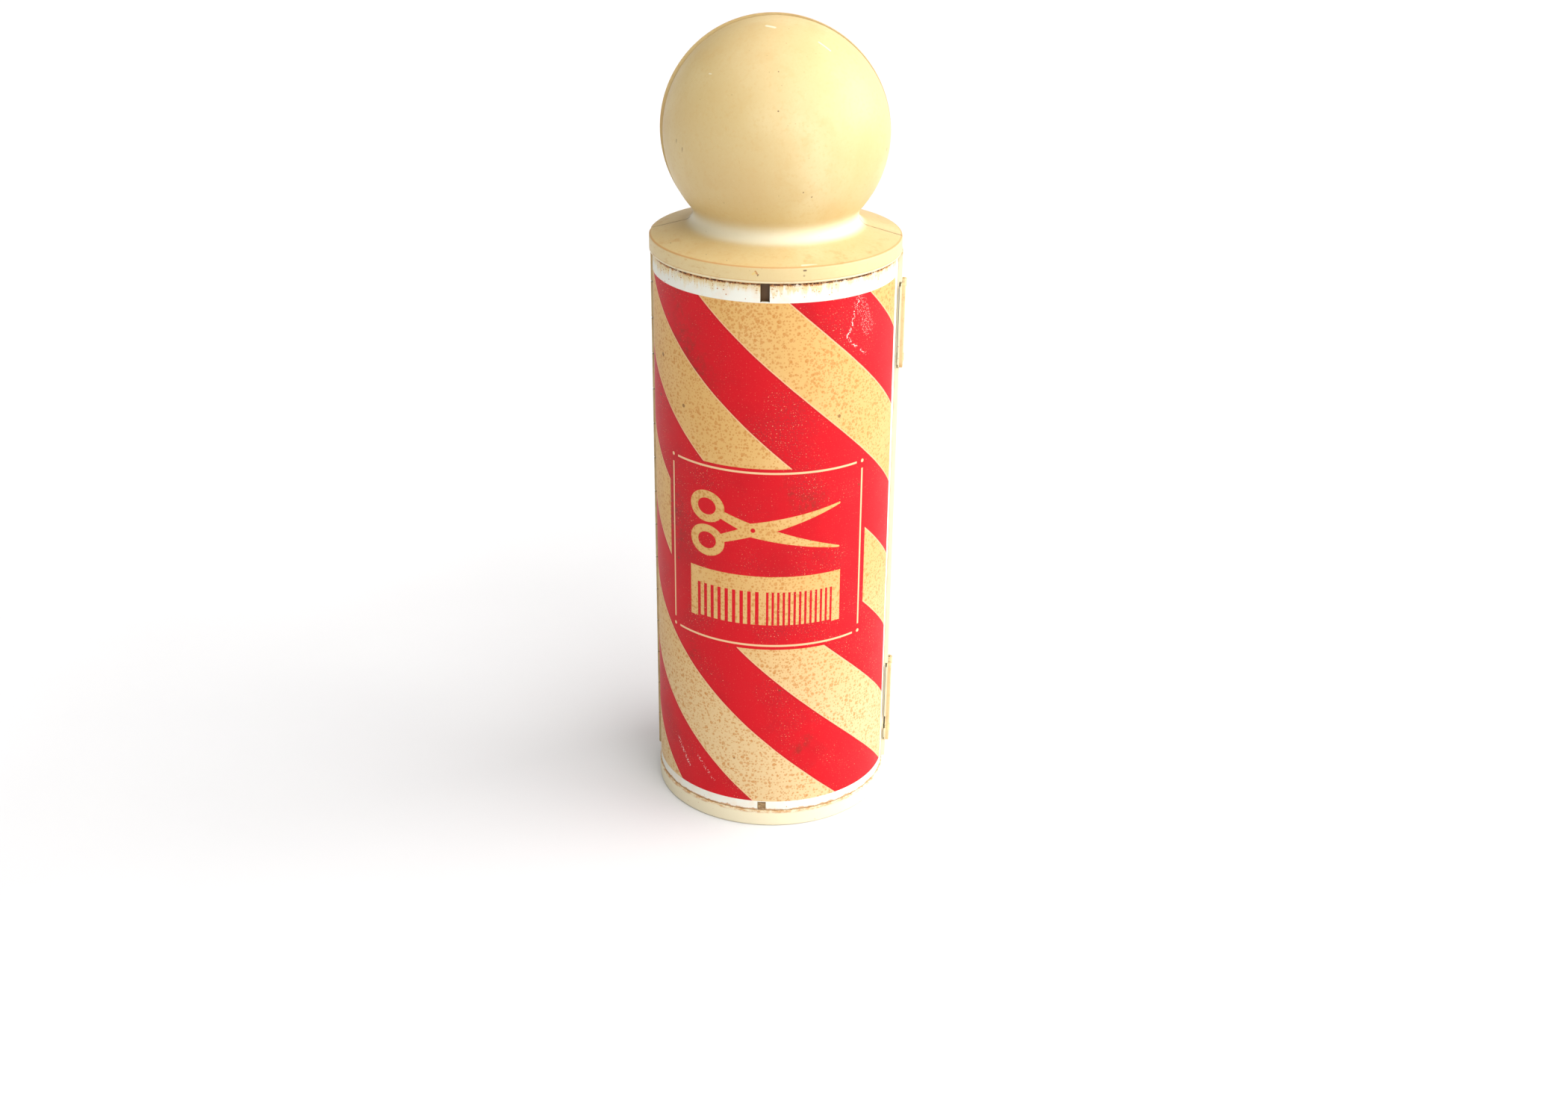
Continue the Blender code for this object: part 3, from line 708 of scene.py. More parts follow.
def tray(label, node, side, pockets, material):
    """A flat deck with deep rounded pockets, its lips softened as a moulding's are."""
    low, high = span(side, DECK_NEAR, DECK_NEAR + DECK_THICKNESS)
    obj = box((TRAY_LOW.x, low, TRAY_LOW.z), (TRAY_HIGH.x, high, TRAY_HIGH.z))
    outsides = []
    insides = []
    for bottom, top in pockets:
        for made, near, grow in (
            (outsides, DECK_NEAR + MM, POCKET_WALL),
            (insides, DECK_NEAR - MM, 0.0),
        ):
            half = POCKET_HALF_WIDTH + grow
            low, high = span(side, near, POCKET_DEPTH + grow)
            corners = ((-half, low, bottom - grow), (half, high, top + grow))
            made.append(rounded_box(*corners, POCKET_CORNER + grow, side))
    join(obj, *outsides)
    end = side * (DECK_NEAR + 3 * DECK_THICKNESS)
    holes = [
        cylinder(SCREW_RADIUS + GAP, (x, 0.0, z), (x, end, z), 24) for x, z in BOSS_PLACES
    ]
    cut(obj, *insides, *holes)
    soften(obj, 0.3 * MM, 2, 40.0)
    name = f"{label}_tray"
    return finish_piece(obj, name, f"{label}_case", material, node)


def tray_screw(label, side, number, place, material):
    """A pan-head screw with a cross recess, through the deck into its boss."""
    x, z = place
    radius = SCREW_HEAD_RADIUS
    height = SCREW_HEAD_HEIGHT
    tip = DECK_THICKNESS + PILOT_DEPTH - MM + height + GAP
    profile = [(0.0, 0.0)]
    for i in range(1, 9):
        angle = math.pi / 2 * i / 8
        profile.append((radius * math.sin(angle) ** 0.8, height * (1 - math.cos(angle))))
    profile += [(SCREW_RADIUS, height), (SCREW_RADIUS, tip - MM), (0.3 * MM, tip), (0.0, tip)]
    face = side * (DECK_NEAR - GAP - height)
    obj = turned(profile, (x, face, z), (0.0, side, 0.0))
    low, high = sorted((face - side * MM, face + side * 0.8 * MM))
    arms = [
        box((x - across * MM, low, z - up * MM), (x + across * MM, high, z + up * MM))
        for across, up in ((1.3, 0.28), (0.28, 1.3))
    ]
    cut(obj, *arms)
    name = f"{label}_tray_screw_{number}"
    node = f"tray_screw_{label}_{number}"
    return finish_piece(obj, name, f"{label}_case", material, node)


# ---------------------------------------------------------------- material helpers


class Field:
    """A number that varies over the surface, which takes arithmetic."""

    def __init__(self, tree, socket):
        self.tree = tree
        self.socket = socket

    def feed(self, slot):
        self.tree.links.new(self.socket, slot)

    def math(self, operation, *others):
        node = self.tree.nodes.new("ShaderNodeMath")
        node.operation = operation
        for slot, value in zip(node.inputs, (self, *others)):
            put(value, slot)
        return Field(self.tree, node.outputs[0])

    def __add__(self, other):
        return self.math("ADD", other)

    def __sub__(self, other):
        return self.math("SUBTRACT", other)

    def __rsub__(self, other):
        return self.math("MULTIPLY_ADD", -1.0, other)

    def __mul__(self, other):
        return self.math("MULTIPLY", other)

    def __truediv__(self, other):
        return self.math("DIVIDE", other)

    __radd__ = __add__
    __rmul__ = __mul__

    def size(self):
        return self.math("ABSOLUTE")

    def fraction(self):
        return self.math("FRACT")

    def least(self, other):
        return self.math("MINIMUM", other)

    def most(self, other):
        return self.math("MAXIMUM", other)

    def hypotenuse(self, other):
        return (self * self + other * other).math("SQRT")

    def rise(self, low, high):
        """0 below low, 1 above high and smooth between, or the reverse if low is above high."""
        node = self.tree.nodes.new("ShaderNodeMapRange")
        node.interpolation_type = "SMOOTHSTEP"
        put(self, node.inputs["Value"])
        node.inputs["From Min"].default_value = low
        node.inputs["From Max"].default_value = high
        return Field(self.tree, node.outputs["Result"])

    def within(self, limit, soft=0.12):
        """1 where the size is below a limit."""
        return self.size().rise(limit + soft, limit - soft)

    def within_of(self, middle, limit, soft=0.12):
        """1 where the value is close to a middle one."""
        return (self - middle).within(limit, soft)

    def between(self, low, high, soft=0.12):
        middle = (low + high) / 2
        return (self - middle).within((high - low) / 2, soft)


def put(value, slot):
    """Sets a socket to a number, a colour or a Field."""
    if isinstance(value, Field):
        value.feed(slot)
    else:
        slot.default_value = value


def srgb(red, green, blue):
    """A linear colour from the usual 0 to 255 screen values."""
    linear = []
    for part in (red, green, blue):
        part = part / 255
        linear.append(part / 12.92 if part <= 0.04045 else ((part + 0.055) / 1.055) ** 2.4)
    return (*linear, 1.0)


class Surface:
    """A material under construction, with the place on the object in millimetres."""

    def __init__(self, name, base, **constants):
        self.material = bpy.data.materials.new(name)
        self.material.use_nodes = True
        self.tree = self.material.node_tree
        self.shader = self.tree.nodes["Principled BSDF"]
        for slot, value in constants.items():
            self.shader.inputs[slot.replace("_", " ")].default_value = value
        coordinates = self.tree.nodes.new("ShaderNodeTexCoord")
        scale = self.tree.nodes.new("ShaderNodeVectorMath")
        scale.operation = "SCALE"
        scale.inputs["Scale"].default_value = 1000.0
        self.tree.links.new(coordinates.outputs["Object"], scale.inputs[0])
        self.place = Field(self.tree, scale.outputs[0])
        split = self.tree.nodes.new("ShaderNodeSeparateXYZ")
        self.place.feed(split.inputs[0])
        self.x, self.y, self.z = (Field(self.tree, out) for out in split.outputs)
        self.radius = self.x.hypotenuse(self.y)
        self.flat = False
        self.colour = base

    def lay_flat(self, across):
        """Works from here on a sheet laid out flat, by distance across it and height."""
        self.flat = True
        self.across = across
        self.place = self.vector(across, self.z)

    def vector(self, x, y, z=0.0):
        node = self.tree.nodes.new("ShaderNodeCombineXYZ")
        for slot, value in zip(node.inputs, (x, y, z)):
            put(value, slot)
        return Field(self.tree, node.outputs[0])

    def noise(self, size, detail=3.0, rough=0.55, place=None, offset=0.0):
        """Cloudy variation from 0 to 1, with patches of about size millimetres."""
        node = self.tree.nodes.new("ShaderNodeTexNoise")
        node.noise_dimensions = "4D"
        (place or self.place).feed(node.inputs["Vector"])
        node.inputs["W"].default_value = offset
        node.inputs["Scale"].default_value = 1.0 / size
        node.inputs["Detail"].default_value = detail
        node.inputs["Roughness"].default_value = rough
        return Field(self.tree, node.outputs["Fac"])

    def dots(self, pitch, smallest, largest, offset=0.0):
        """Round soft dots, one in each cell, and a random number for each, all from 0 to 1."""
        node = self.tree.nodes.new("ShaderNodeTexVoronoi")
        node.voronoi_dimensions = "2D" if self.flat else "3D"
        moved = self.tree.nodes.new("ShaderNodeVectorMath")
        self.place.feed(moved.inputs[0])
        moved.inputs[1].default_value = (offset, offset, 0.0)
        self.tree.links.new(moved.outputs[0], node.inputs["Vector"])
        node.inputs["Scale"].default_value = 1.0 / pitch
        random = self.tree.nodes.new("ShaderNodeSeparateColor")
        self.tree.links.new(node.outputs["Color"], random.inputs[0])
        pick = Field(self.tree, random.outputs[0])
        chance = Field(self.tree, random.outputs[1])
        away = Field(self.tree, node.outputs["Distance"]) * pitch
        reach = pick * (largest - smallest) + smallest
        return (reach - away).rise(-0.08 * largest, 0.3 * largest), chance

    def specks(self, pitch, smallest, largest, missing, offset=0.0):
        """Dots as above, of which a share from 0 to 1 is missing."""
        dots, chance = self.dots(pitch, smallest, largest, offset)
        return dots * chance.rise(missing, missing + 0.02)

    def paint(self, mask, colour):
        """Lays a colour over what is there, where the mask says."""
        node = self.tree.nodes.new("ShaderNodeMix")
        node.data_type = "RGBA"
        put(mask, node.inputs[0])
        put(self.colour, node.inputs[6])
        put(colour, node.inputs[7])
        self.colour = Field(self.tree, node.outputs[2])

    def stroke(self, start, end, start_width, end_width, up):
        """Distance outside a tapered stroke on a flat sheet; below 0 is inside it."""
        across = self.across
        run, rise = end[0] - start[0], end[1] - start[1]
        along = (across - start[0]) * run + (up - start[1]) * rise
        share = (along / (run * run + rise * rise)).most(0.0).least(1.0)
        away = (across - start[0] - share * run).hypotenuse(up - start[1] - share * rise)
        return away - (share * (end_width - start_width) + start_width)

    def scratch(self, start, end, width):
        """A mark between two points in space, in millimetres, from 0 to 1."""
        start, end = Vector(start), Vector(end)
        run = end - start
        offset = [part - begin for part, begin in zip((self.x, self.y, self.z), start)]
        along = offset[0] * run.x + offset[1] * run.y + offset[2] * run.z
        share = (along / max(run.length_squared, 1e-6)).most(0.0).least(1.0)
        off = [part - share * step for part, step in zip(offset, run)]
        away = (off[0] * off[0] + off[1] * off[1] + off[2] * off[2]).math("SQRT")
        return away.rise(width, width * 0.4)

    def finish(self, roughness=None, height=None, relief=0.05):
        """Connects colour, roughness and bump, and returns the material."""
        put(self.colour, self.shader.inputs["Base Color"])
        if roughness is not None:
            put(roughness, self.shader.inputs["Roughness"])
        if height is not None:
            bump = self.tree.nodes.new("ShaderNodeBump")
            bump.inputs["Strength"].default_value = 1.0
            bump.inputs["Distance"].default_value = relief * MM
            put(height, bump.inputs["Height"])
            self.tree.links.new(bump.outputs[0], self.shader.inputs["Normal"])
        return self.material


# ---------------------------------------------------------------- colours and marks

IVORY = srgb(206, 181, 126)
IVORY_WARM = srgb(203, 169, 110)
IVORY_PALE = srgb(218, 200, 152)
IVORY_WHITE = srgb(228, 220, 192)
BROWN = srgb(104, 66, 34)
DARK_BROWN = srgb(62, 26, 18)
SLOT_SHADE_BROWN = srgb(92, 62, 26)
RUST = srgb(184, 126, 58)
DARK_RUST = srgb(104, 58, 24)
STAIN = srgb(216, 186, 112)
CRUMB = srgb(178, 108, 44)
LATCH_TAN = srgb(204, 174, 112)
RED = srgb(198, 3, 22)
DEEP_RED = srgb(166, 3, 18)
DUSTY_RED = srgb(150, 34, 38)
GRIME_AND_SHADE = srgb(84, 46, 28)
TAN = srgb(209, 166, 100)
TAN_LIGHT = srgb(217, 180, 122)
TAN_FADED = srgb(214, 190, 146)
TAN_DOT = srgb(188, 124, 56)
TIN_WHITE = srgb(226, 225, 213)
PALE_EDGE = srgb(226, 186, 142)
BARE_TIN = srgb(150, 138, 112)
TRAY_CREAM = srgb(206, 198, 172)
TRAY_GREY = srgb(190, 184, 166)
TRAY_SCUFF = srgb(150, 140, 118)
STEEL = srgb(168, 160, 140)
DULL_STEEL = srgb(122, 110, 88)
LEAF_STEEL = srgb(176, 152, 108)
LEAF_DULL = srgb(140, 108, 66)
FLOOR_PALE = (0.71, 0.705, 0.705, 1.0)
FLOOR_SHADE = (0.695, 0.69, 0.69, 1.0)

# Where the dirt and the pale areas begin and end, in millimetres
RIM_TOP = RIM_HEIGHT / MM
WRAP_FACE = WRAP_RADIUS / MM
SEAT = SEAT_RADIUS / MM
BAND_FACE = SEAM_FLANGE_RADIUS / MM
FLANGE_FACE = FLANGE_RADIUS / MM
FLANGE_FOOT = FLANGE_BOTTOM / MM
FLANGE_EDGE = FLANGE_TOP / MM
NECK_FOOT = 234.8
BALL_FOOT = 241.0
NECK_TOP = 246.0

# Marks on the ball and the flange: start, end and width in millimetres, and colour
BALL_MARKS = (
    ((-3.0, -12.0, 310.0), (0.0, -13.2, 309.4), 0.8, IVORY_WHITE),
    ((15.8, -15.7, 305.3), (19.9, -16.7, 302.6), 0.45, IVORY_WHITE),
    ((-33.9, -24.4, 271.6), (-34.3, -24.4, 269.6), 0.28, BROWN),
    ((-31.4, -27.5, 269.4), (-31.7, -27.5, 267.6), 0.28, BROWN),
    ((40.8, -8.7, 266.9), (40.7, -8.9, 266.2), 0.4, BROWN),
    ((15.5, -36.0, 255.3), (15.4, -36.0, 255.1), 0.32, BROWN),
    ((12.6, -37.8, 257.3), (12.5, -37.8, 257.2), 0.32, BROWN),
    ((-14.8, -38.0, 279.4), (-14.6, -38.1, 278.4), 0.28, IVORY_WARM),
    ((-9.9, -40.6, 268.4), (-9.7, -40.6, 267.6), 0.28, IVORY_WARM),
    ((-21.9, -25.0, 295.2), (-21.0, -25.6, 295.1), 0.35, IVORY_WHITE),
    ((13.0, -44.2, 232.9), (18.0, -42.4, 233.2), 0.7, IVORY_WHITE),
    ((-8.3, -26.9, 237.8), (-8.1, -27.0, 237.8), 0.5, DARK_BROWN),
    ((-7.0, -27.2, 237.7), (-6.9, -27.2, 237.7), 0.3, BROWN),
    ((10.4, -19.1, 239.5), (10.5, -19.1, 239.5), 0.45, BROWN),
    ((19.8, -16.5, 238.4), (19.9, -16.5, 238.4), 0.35, BROWN),
    ((4.9, -25.5, 238.4), (5.0, -25.5, 238.4), 0.3, BROWN),
    ((13.7, -45.5, 231.2), (14.4, -45.3, 231.2), 0.42, DARK_BROWN),
    ((-3.4, -47.4, 230.9), (-2.8, -47.4, 230.0), 0.45, CRUMB),
    ((-4.4, -47.3, 229.8), (-3.6, -47.4, 230.4), 0.5, STAIN),
    ((-2.6, -47.4, 229.4), (-2.4, -47.4, 229.7), 0.35, BROWN),
)

# Layout of the print, in millimetres
SIDE_MARGIN = 3.4
SIDE_MARGIN_SLOPE = 0.013
PRINT_LOW = 11.2
PRINT_HIGH = 219.0
STRIPE_PITCH = 62.5
STRIPE_START = 195.6
STRIPE_SLOPE = 0.91
PANEL_MIDDLE = 117.4
PANEL_HALF_WIDTH = 43.6
PANEL_HALF_HEIGHT = 37.6
LINE_HALF_WIDTH = 40.9
LINE_HALF_HEIGHT = 35.9
LINE_THICKNESS = 0.8
LINE_STOP = 3.0

# Pale pinholes in the red: pitch and largest radius in millimetres, and strength
PINHOLES = ((0.9, 0.14, 0.4), (1.6, 0.22, 0.6))
# Dots on the tan: pitch, smallest and largest radius in millimetres, and how sparse they are
STIPPLE = ((1.15, 0.2, 0.42, 0.26), (1.7, 0.3, 0.62, 0.36), (2.6, 0.45, 0.9, 0.44))
# Dirty patches, of which the two large ones on the left are painted shade: start and end (across,
# up) and end size in millimetres
SMUDGES_AND_SHADE = (
    ((8.0, 147.0), (17.0, 141.0), 5.0),
    ((-37.0, 214.0), (-30.0, 188.0), 9.0),
    ((-42.0, 150.0), (-40.0, 120.0), 6.0),
    ((-33.0, 78.0), (-30.0, 72.0), 3.0),
    ((20.0, 41.0), (14.0, 34.0), 2.5),
)
# Scratches: start and end (across, up) and half width in millimetres, and strength
SCRATCHES = (
    ((36.4, 216.6), (34.8, 212.7), 0.5, 0.9),
    ((34.8, 212.7), (33.6, 207.3), 0.45, 0.9),
    ((33.6, 207.3), (31.6, 204.2), 0.4, 0.8),
    ((31.6, 204.2), (33.4, 201.6), 0.4, 0.6),
    ((33.4, 201.6), (41.1, 195.7), 0.35, 0.7),
    ((37.5, 216.0), (42.0, 206.0), 3.0, 0.3),
    ((-40.0, 30.0), (-33.0, 20.0), 0.5, 0.7),
    ((-28.0, 26.0), (-20.0, 17.0), 0.5, 0.6),
)


# ---------------------------------------------------------------- ivory plastic


def paint_pale_areas_and_light(s):
    """Whiter round the rim, and inside where the sun hasn't reached; a painted highlight on the
    neck and painted light on the latch side.
    """
    s.paint(s.z.rise(RIM_TOP + 1.5, RIM_TOP - 1.0) * 0.8, IVORY_WHITE)
    # Painted highlight: the neck fillet is painted near white where the light glints on it.
    neck = s.z.rise(NECK_TOP, 237.6) * s.z.rise(NECK_FOOT, 237.2) * s.radius.rise(36.0, 30.5)
    s.paint(neck * 0.95, IVORY_WHITE)
    below_flange = s.z.rise(FLANGE_FOOT, FLANGE_FOOT - 1.5)
    # Painted light: the latch side below the flange is painted near white, standing in for the
    # strong light from the right; the rust specks on it are real.
    lit_side_band = s.radius.rise(WRAP_FACE, WRAP_FACE + 0.1) * s.x.rise(30.0, 40.0) * below_flange
    s.paint(lit_side_band * 0.85, IVORY_WHITE)
    s.paint(lit_side_band * s.specks(2.2, 0.1, 0.32, 0.62, offset=3.0) * 0.7, RUST)
    inside = s.radius.rise(SEAT - 0.1, SEAT - 0.5) * s.z.rise(FLANGE_FOOT + 0.5, FLANGE_FOOT - 1.5)
    s.paint(inside * 0.75, IVORY_WHITE)


def paint_latches_and_slot(s):
    """Browner latch plates, and the floor of the recess behind the wrap's top notch painted dark
    brown, as dirt and painted shade.
    """
    plates = s.x.rise(BAND_FACE + 0.03, BAND_FACE + 0.1) * s.y.rise(8.5, 8.0)
    s.paint(plates * 0.75, LATCH_TAN)
    s.paint(plates * s.noise(3.0, 4.0, 0.7, offset=8.0).rise(0.5, 0.7) * 0.5, RUST)
    # Dirt and painted shade: the floor of the recess behind the top notch is painted dark brown.
    slot_dirt_and_shade = s.x.within(NOTCH_WIDTH / MM / 2 + 0.1, 0.1)
    slot_dirt_and_shade = slot_dirt_and_shade * s.radius.between(SEAT - 1.7, SEAT - 0.05, 0.05)
    s.paint(slot_dirt_and_shade * s.z.between(FLANGE_FOOT - 10.5, FLANGE_FOOT + 0.5, 0.1), SLOT_SHADE_BROWN)


def paint_edge_dirt_and_light(s):
    """Dust and rust-coloured dirt on the flange, its edges and the rim; painted light on the
    flange's front side, a painted shade line and a painted highlight along its foot, and the key
    painted dark brown.
    """
    top_dirt = s.z.between(FLANGE_EDGE - 0.3, BALL_FOOT, 1.0) * s.radius.rise(36.0, 42.0)
    s.paint(top_dirt * s.noise(5.0, 5.0, 0.7, offset=2.0).rise(0.5, 0.72) * 0.5, TAN_DOT)
    s.paint(s.specks(2.6, 0.12, 0.34, 0.72) * (top_dirt * 0.5 + 0.3), BROWN)
    s.paint(s.specks(7.5, 0.2, 0.55, 0.8) * 0.8, BROWN)

    edge_noise = s.noise(3.0, 5.0, 0.75, place=s.vector(s.x, s.y, s.z * 2.2), offset=6.0)
    flange_skin = s.radius.rise(FLANGE_FACE - 0.6, FLANGE_FACE - 0.3)
    # Painted light: the flange's front side is painted paler than its top, for the light that
    # falls on it.
    lit_flange_side = s.z.between(FLANGE_FOOT - 0.2, FLANGE_EDGE - 0.3, 0.15) * flange_skin
    s.paint(lit_flange_side * 0.4, IVORY_PALE)
    top_edge = s.radius.rise(FLANGE_FACE - 0.9, FLANGE_FACE - 0.6)
    s.paint(s.z.within_of(FLANGE_EDGE, 0.2, 0.15) * top_edge * 0.6, TAN_DOT)
    # A painted shade line and a painted highlight along the flange's foot, drawn for a moulding
    # step.
    s.paint(s.z.within_of(FLANGE_FOOT + 1.0, 0.12) * flange_skin * 0.4, TAN_DOT)
    s.paint(s.z.within_of(FLANGE_FOOT + 0.5, 0.3) * flange_skin * 0.5, IVORY_WHITE)
    ledges = s.radius.rise(SEAT - 1.8, SEAT + 0.2)
    lower_edge = s.z.between(FLANGE_FOOT - 0.3, FLANGE_FOOT + 0.7, 0.5) * ledges
    rusty = edge_noise.rise(0.5, 0.7)
    s.paint(lower_edge * rusty * 0.6, RUST)
    side_dirt = s.radius.rise(FLANGE_FACE - 0.7, FLANGE_FACE - 0.3) * s.x.rise(0.0, -30.0)
    side_dirt = side_dirt * s.z.between(FLANGE_FOOT, FLANGE_EDGE - 0.3, 1.0)
    s.paint(side_dirt * rusty * 0.55, RUST)

    rim_edge = s.z.between(RIM_TOP - 1.0, RIM_TOP + 0.4, 0.5) * ledges
    s.paint(rim_edge * edge_noise.rise(0.4, 0.6) * 0.85, RUST)
    # The key in the bottom notch is painted dark brown, mottled.
    key = s.x.within(2.0, 0.2) * s.radius.rise(SEAT + 0.05, SEAT + 0.2)
    key = key * s.z.between(RIM_TOP + 0.1, RIM_TOP + 5.0)
    s.paint(key * (edge_noise.rise(0.3, 0.6) * 0.5 + 0.4), BROWN)
    rim_spots = s.specks(3.4, 0.15, 0.5, 0.6, offset=7.0) * s.z.rise(RIM_TOP + 2.0, RIM_TOP)
    s.paint(rim_spots * 0.6, RUST)


def paint_seam(s):
    """Dirt on the outer skin beside the seam, kept off the cut faces, and the ball's bead painted
    tan as painted shade.
    """
    cut_face = s.y.within(HALF_GAP / MM + 0.04, 0.03)
    seam = s.y.within(0.55, 0.35) * (1 - cut_face * 0.85)
    from_ball = s.z - BALL_CENTRE / MM
    ball_skin = s.radius.hypotenuse(from_ball).rise(40.9, 41.4)
    cone_skin = (s.radius * math.tan(CONE_SLOPE) + s.z).rise(243.9, 244.4)
    tube_skin = s.radius.rise(SEAT - 1.0, SEAT - 0.4)
    skin = tube_skin.most(ball_skin).most(cone_skin * s.z.rise(BALL_FOOT + 3.0, BALL_FOOT))
    seam_noise = s.noise(2.5, 4.0, 0.7, offset=3.0).rise(0.35, 0.6)
    s.paint(seam * skin * seam_noise * (s.z.rise(NECK_TOP, BALL_FOOT) * 0.3 + 0.45), BROWN)
    # Painted shade: the bead round the rear half of the ball is painted tan, for the shade it lies
    # in.
    bead_shade = s.y.between(0.3, 2.0, 0.15) * s.z.rise(BALL_FOOT, NECK_TOP)
    s.paint(bead_shade * 0.55, TAN_DOT)


def ivory_material():
    """Yellowed plastic: clouds of warm and pale, fine specks, rust stains and old scratches."""
    s = Surface(
        "aged_ivory", IVORY, Specular_IOR_Level=0.5, Sheen_Weight=0.04, Sheen_Roughness=0.4
    )
    clouds = s.noise(38.0, 3.0, 0.5)
    s.paint(clouds.rise(0.45, 0.75) * 0.75, IVORY_WARM)
    s.paint(s.noise(30.0, 3.0, 0.5, offset=4.0).rise(0.5, 0.78) * 0.6, IVORY_PALE)
    streaks = s.noise(7.0, 3.0, 0.6, place=s.vector(s.x * 2.0, s.y * 2.0, s.z * 0.25))
    s.paint(streaks.rise(0.5, 0.8) * 0.18, IVORY_WARM)
    grain = s.noise(1.4, 3.0, 0.7)
    s.paint(grain.rise(0.48, 0.72) * 0.5, IVORY_WARM)
    blots = s.noise(11.0, 4.0, 0.65, offset=12.0)
    s.paint(blots.rise(0.52, 0.7) * 0.4, IVORY_WARM)
    s.paint(s.noise(2.2, 3.0, 0.7, offset=9.0).rise(0.55, 0.8) * 0.2, IVORY_PALE)
    paint_pale_areas_and_light(s)
    paint_latches_and_slot(s)
    paint_edge_dirt_and_light(s)
    paint_seam(s)
    for start, end, width, colour in BALL_MARKS:
        s.paint(s.scratch(start, end, width) * 0.8, colour)
    fine = s.noise(0.9, 2.0, 0.5, offset=1.0)
    height = fine * 0.25 + clouds * 2.0 + grain * 0.35
    roughness = clouds * 0.14 + grain * 0.1 + 0.38
    return s.finish(roughness, height, 0.04)


# ---------------------------------------------------------------- printed tin


def panel_line(s, up):
    """The thin frame line, which stops short of its corners, and the four corner dots."""
    half = LINE_THICKNESS / 2
    off_across = s.across.size() - LINE_HALF_WIDTH
    off_up = up.size() - LINE_HALF_HEIGHT
    upright = off_across.within(half) * up.within(LINE_HALF_HEIGHT - LINE_STOP)
    level = off_up.within(half) * s.across.within(LINE_HALF_WIDTH - LINE_STOP)
    return upright.most(level).most(off_across.hypotenuse(off_up).rise(0.8, 0.6))


def comb_shape(across, up):
    """A barber's comb: a spine, thick end teeth, and coarse and fine teeth between."""
    half, end = 31.0, 27.5
    spine_top, spine_bottom, tip = -6.5, -13.0, -27.0
    spine = across.within(half) * up.between(spine_bottom, spine_top)
    guards = (across.size() - (half + end) / 2).within((half - end) / 2)
    guards = guards * up.between(tip - 0.8, spine_top)
    reach = up.between(tip, spine_top) * across.within(end)
    coarse_pitch, fine_pitch = end / 9, end / 13
    coarse = ((across + end) / coarse_pitch).fraction().rise(0.42, 0.5) * across.rise(0.1, -0.1)
    fine = ((end - across) / fine_pitch).fraction().rise(0.4, 0.5) * across.rise(-0.1, 0.1)
    return spine.most(guards).most(reach * coarse.most(fine))


def scissors_shape(s, up):
    """Open scissors: two rings, two shanks that cross at a pivot, two tapered blades."""
    pivot = (-4.0, 12.5)
    shape = None
    for ring, tip in (((-23.0, 19.5), (30.0, 3.5)), ((-23.0, 5.5), (30.0, 21.5))):
        away = ((s.across - ring[0]) / 1.2).hypotenuse(up - ring[1])
        loop = (away - 4.9).within(1.5)
        grip = (ring[0] + 5.4, ring[1] + (pivot[1] - ring[1]) * 0.25)
        shank = s.stroke(grip, pivot, 1.6, 2.3, up).rise(0.12, -0.12)
        blade = s.stroke(pivot, tip, 2.9, 0.4, up).rise(0.12, -0.12)
        piece = loop.most(shank).most(blade)
        shape = piece if shape is None else shape.most(piece)
    screw = (s.across - pivot[0]).hypotenuse(up - pivot[1])
    return shape * screw.rise(0.8, 1.05)


def stripe_masks(s):
    """Where the red stripes are, their pale outline, and the denser ink inside it."""
    wander = (s.noise(9.0, 2.0, 0.5) - 0.5) * 0.3
    phase = (STRIPE_START - s.across * STRIPE_SLOPE - s.z + wander) / STRIPE_PITCH
    width = STRIPE_PITCH / math.sqrt(1 + STRIPE_SLOPE**2)
    from_middle = ((phase.fraction() - 0.25).size().math("PINGPONG", 0.5)) * width
    edge = width / 4
    red = from_middle.rise(edge + 0.1, edge - 0.1)
    outline = (from_middle - edge).within(0.22)
    dense = (from_middle - (edge - 0.45)).within(0.3, 0.25)
    return red, outline, dense


def paint_red_ink(s, dense):
    """Red ink, with pale pinholes, darker, dustier patches, and dark smudges that are grime and
    painted shade.
    """
    s.paint(s.noise(26.0, 4.0, 0.6).rise(0.45, 0.75) * 0.5, DEEP_RED)
    dusty = s.noise(20.0, 3.0, 0.6, offset=5.0).rise(0.42, 0.66)
    dust = s.noise(0.7, 2.0, 0.7, offset=2.0).rise(0.4, 0.7)
    s.paint(dusty * dust * 0.7, DUSTY_RED)
    for pitch, largest, strength in PINHOLES:
        pins = s.specks(pitch, 0.05, largest, 0.45)
        s.paint(pins * (dusty * 0.7 + 0.15) * strength, PALE_EDGE)
    s.paint(dense * 0.6, DEEP_RED)
    # Dark smudges: grime, and on the left painted shade where the sheet reads darker.
    mottle = s.noise(2.6, 5.0, 0.75, offset=9.0).rise(0.42, 0.66)
    for start, end, size in SMUDGES_AND_SHADE:
        smudge_and_shade = s.stroke(start, end, 0.5, size, s.z).rise(size, -size)
        s.paint(smudge_and_shade * mottle * 0.6, GRIME_AND_SHADE)


def paint_tan_ink(s):
    """Tan ink, faded lower down, with its rust-coloured stipple."""
    s.paint(s.noise(34.0, 3.0, 0.5, offset=3.0).rise(0.4, 0.7) * 0.5, TAN_LIGHT)
    s.paint(s.z.rise(120.0, 30.0) * 0.75, TAN_FADED)
    s.paint(s.noise(1.1, 3.0, 0.7, offset=8.0).rise(0.5, 0.75) * 0.22, TAN_DOT)
    crowd = s.noise(13.0, 3.0, 0.6, offset=7.0)
    for pitch, smallest, largest, share in STIPPLE:
        stipple, keep = s.dots(pitch, smallest, largest)
        here = (crowd * 1.5 + keep - 0.75).rise(share, share + 0.15)
        s.paint(stipple * here * 0.6, TAN_DOT)


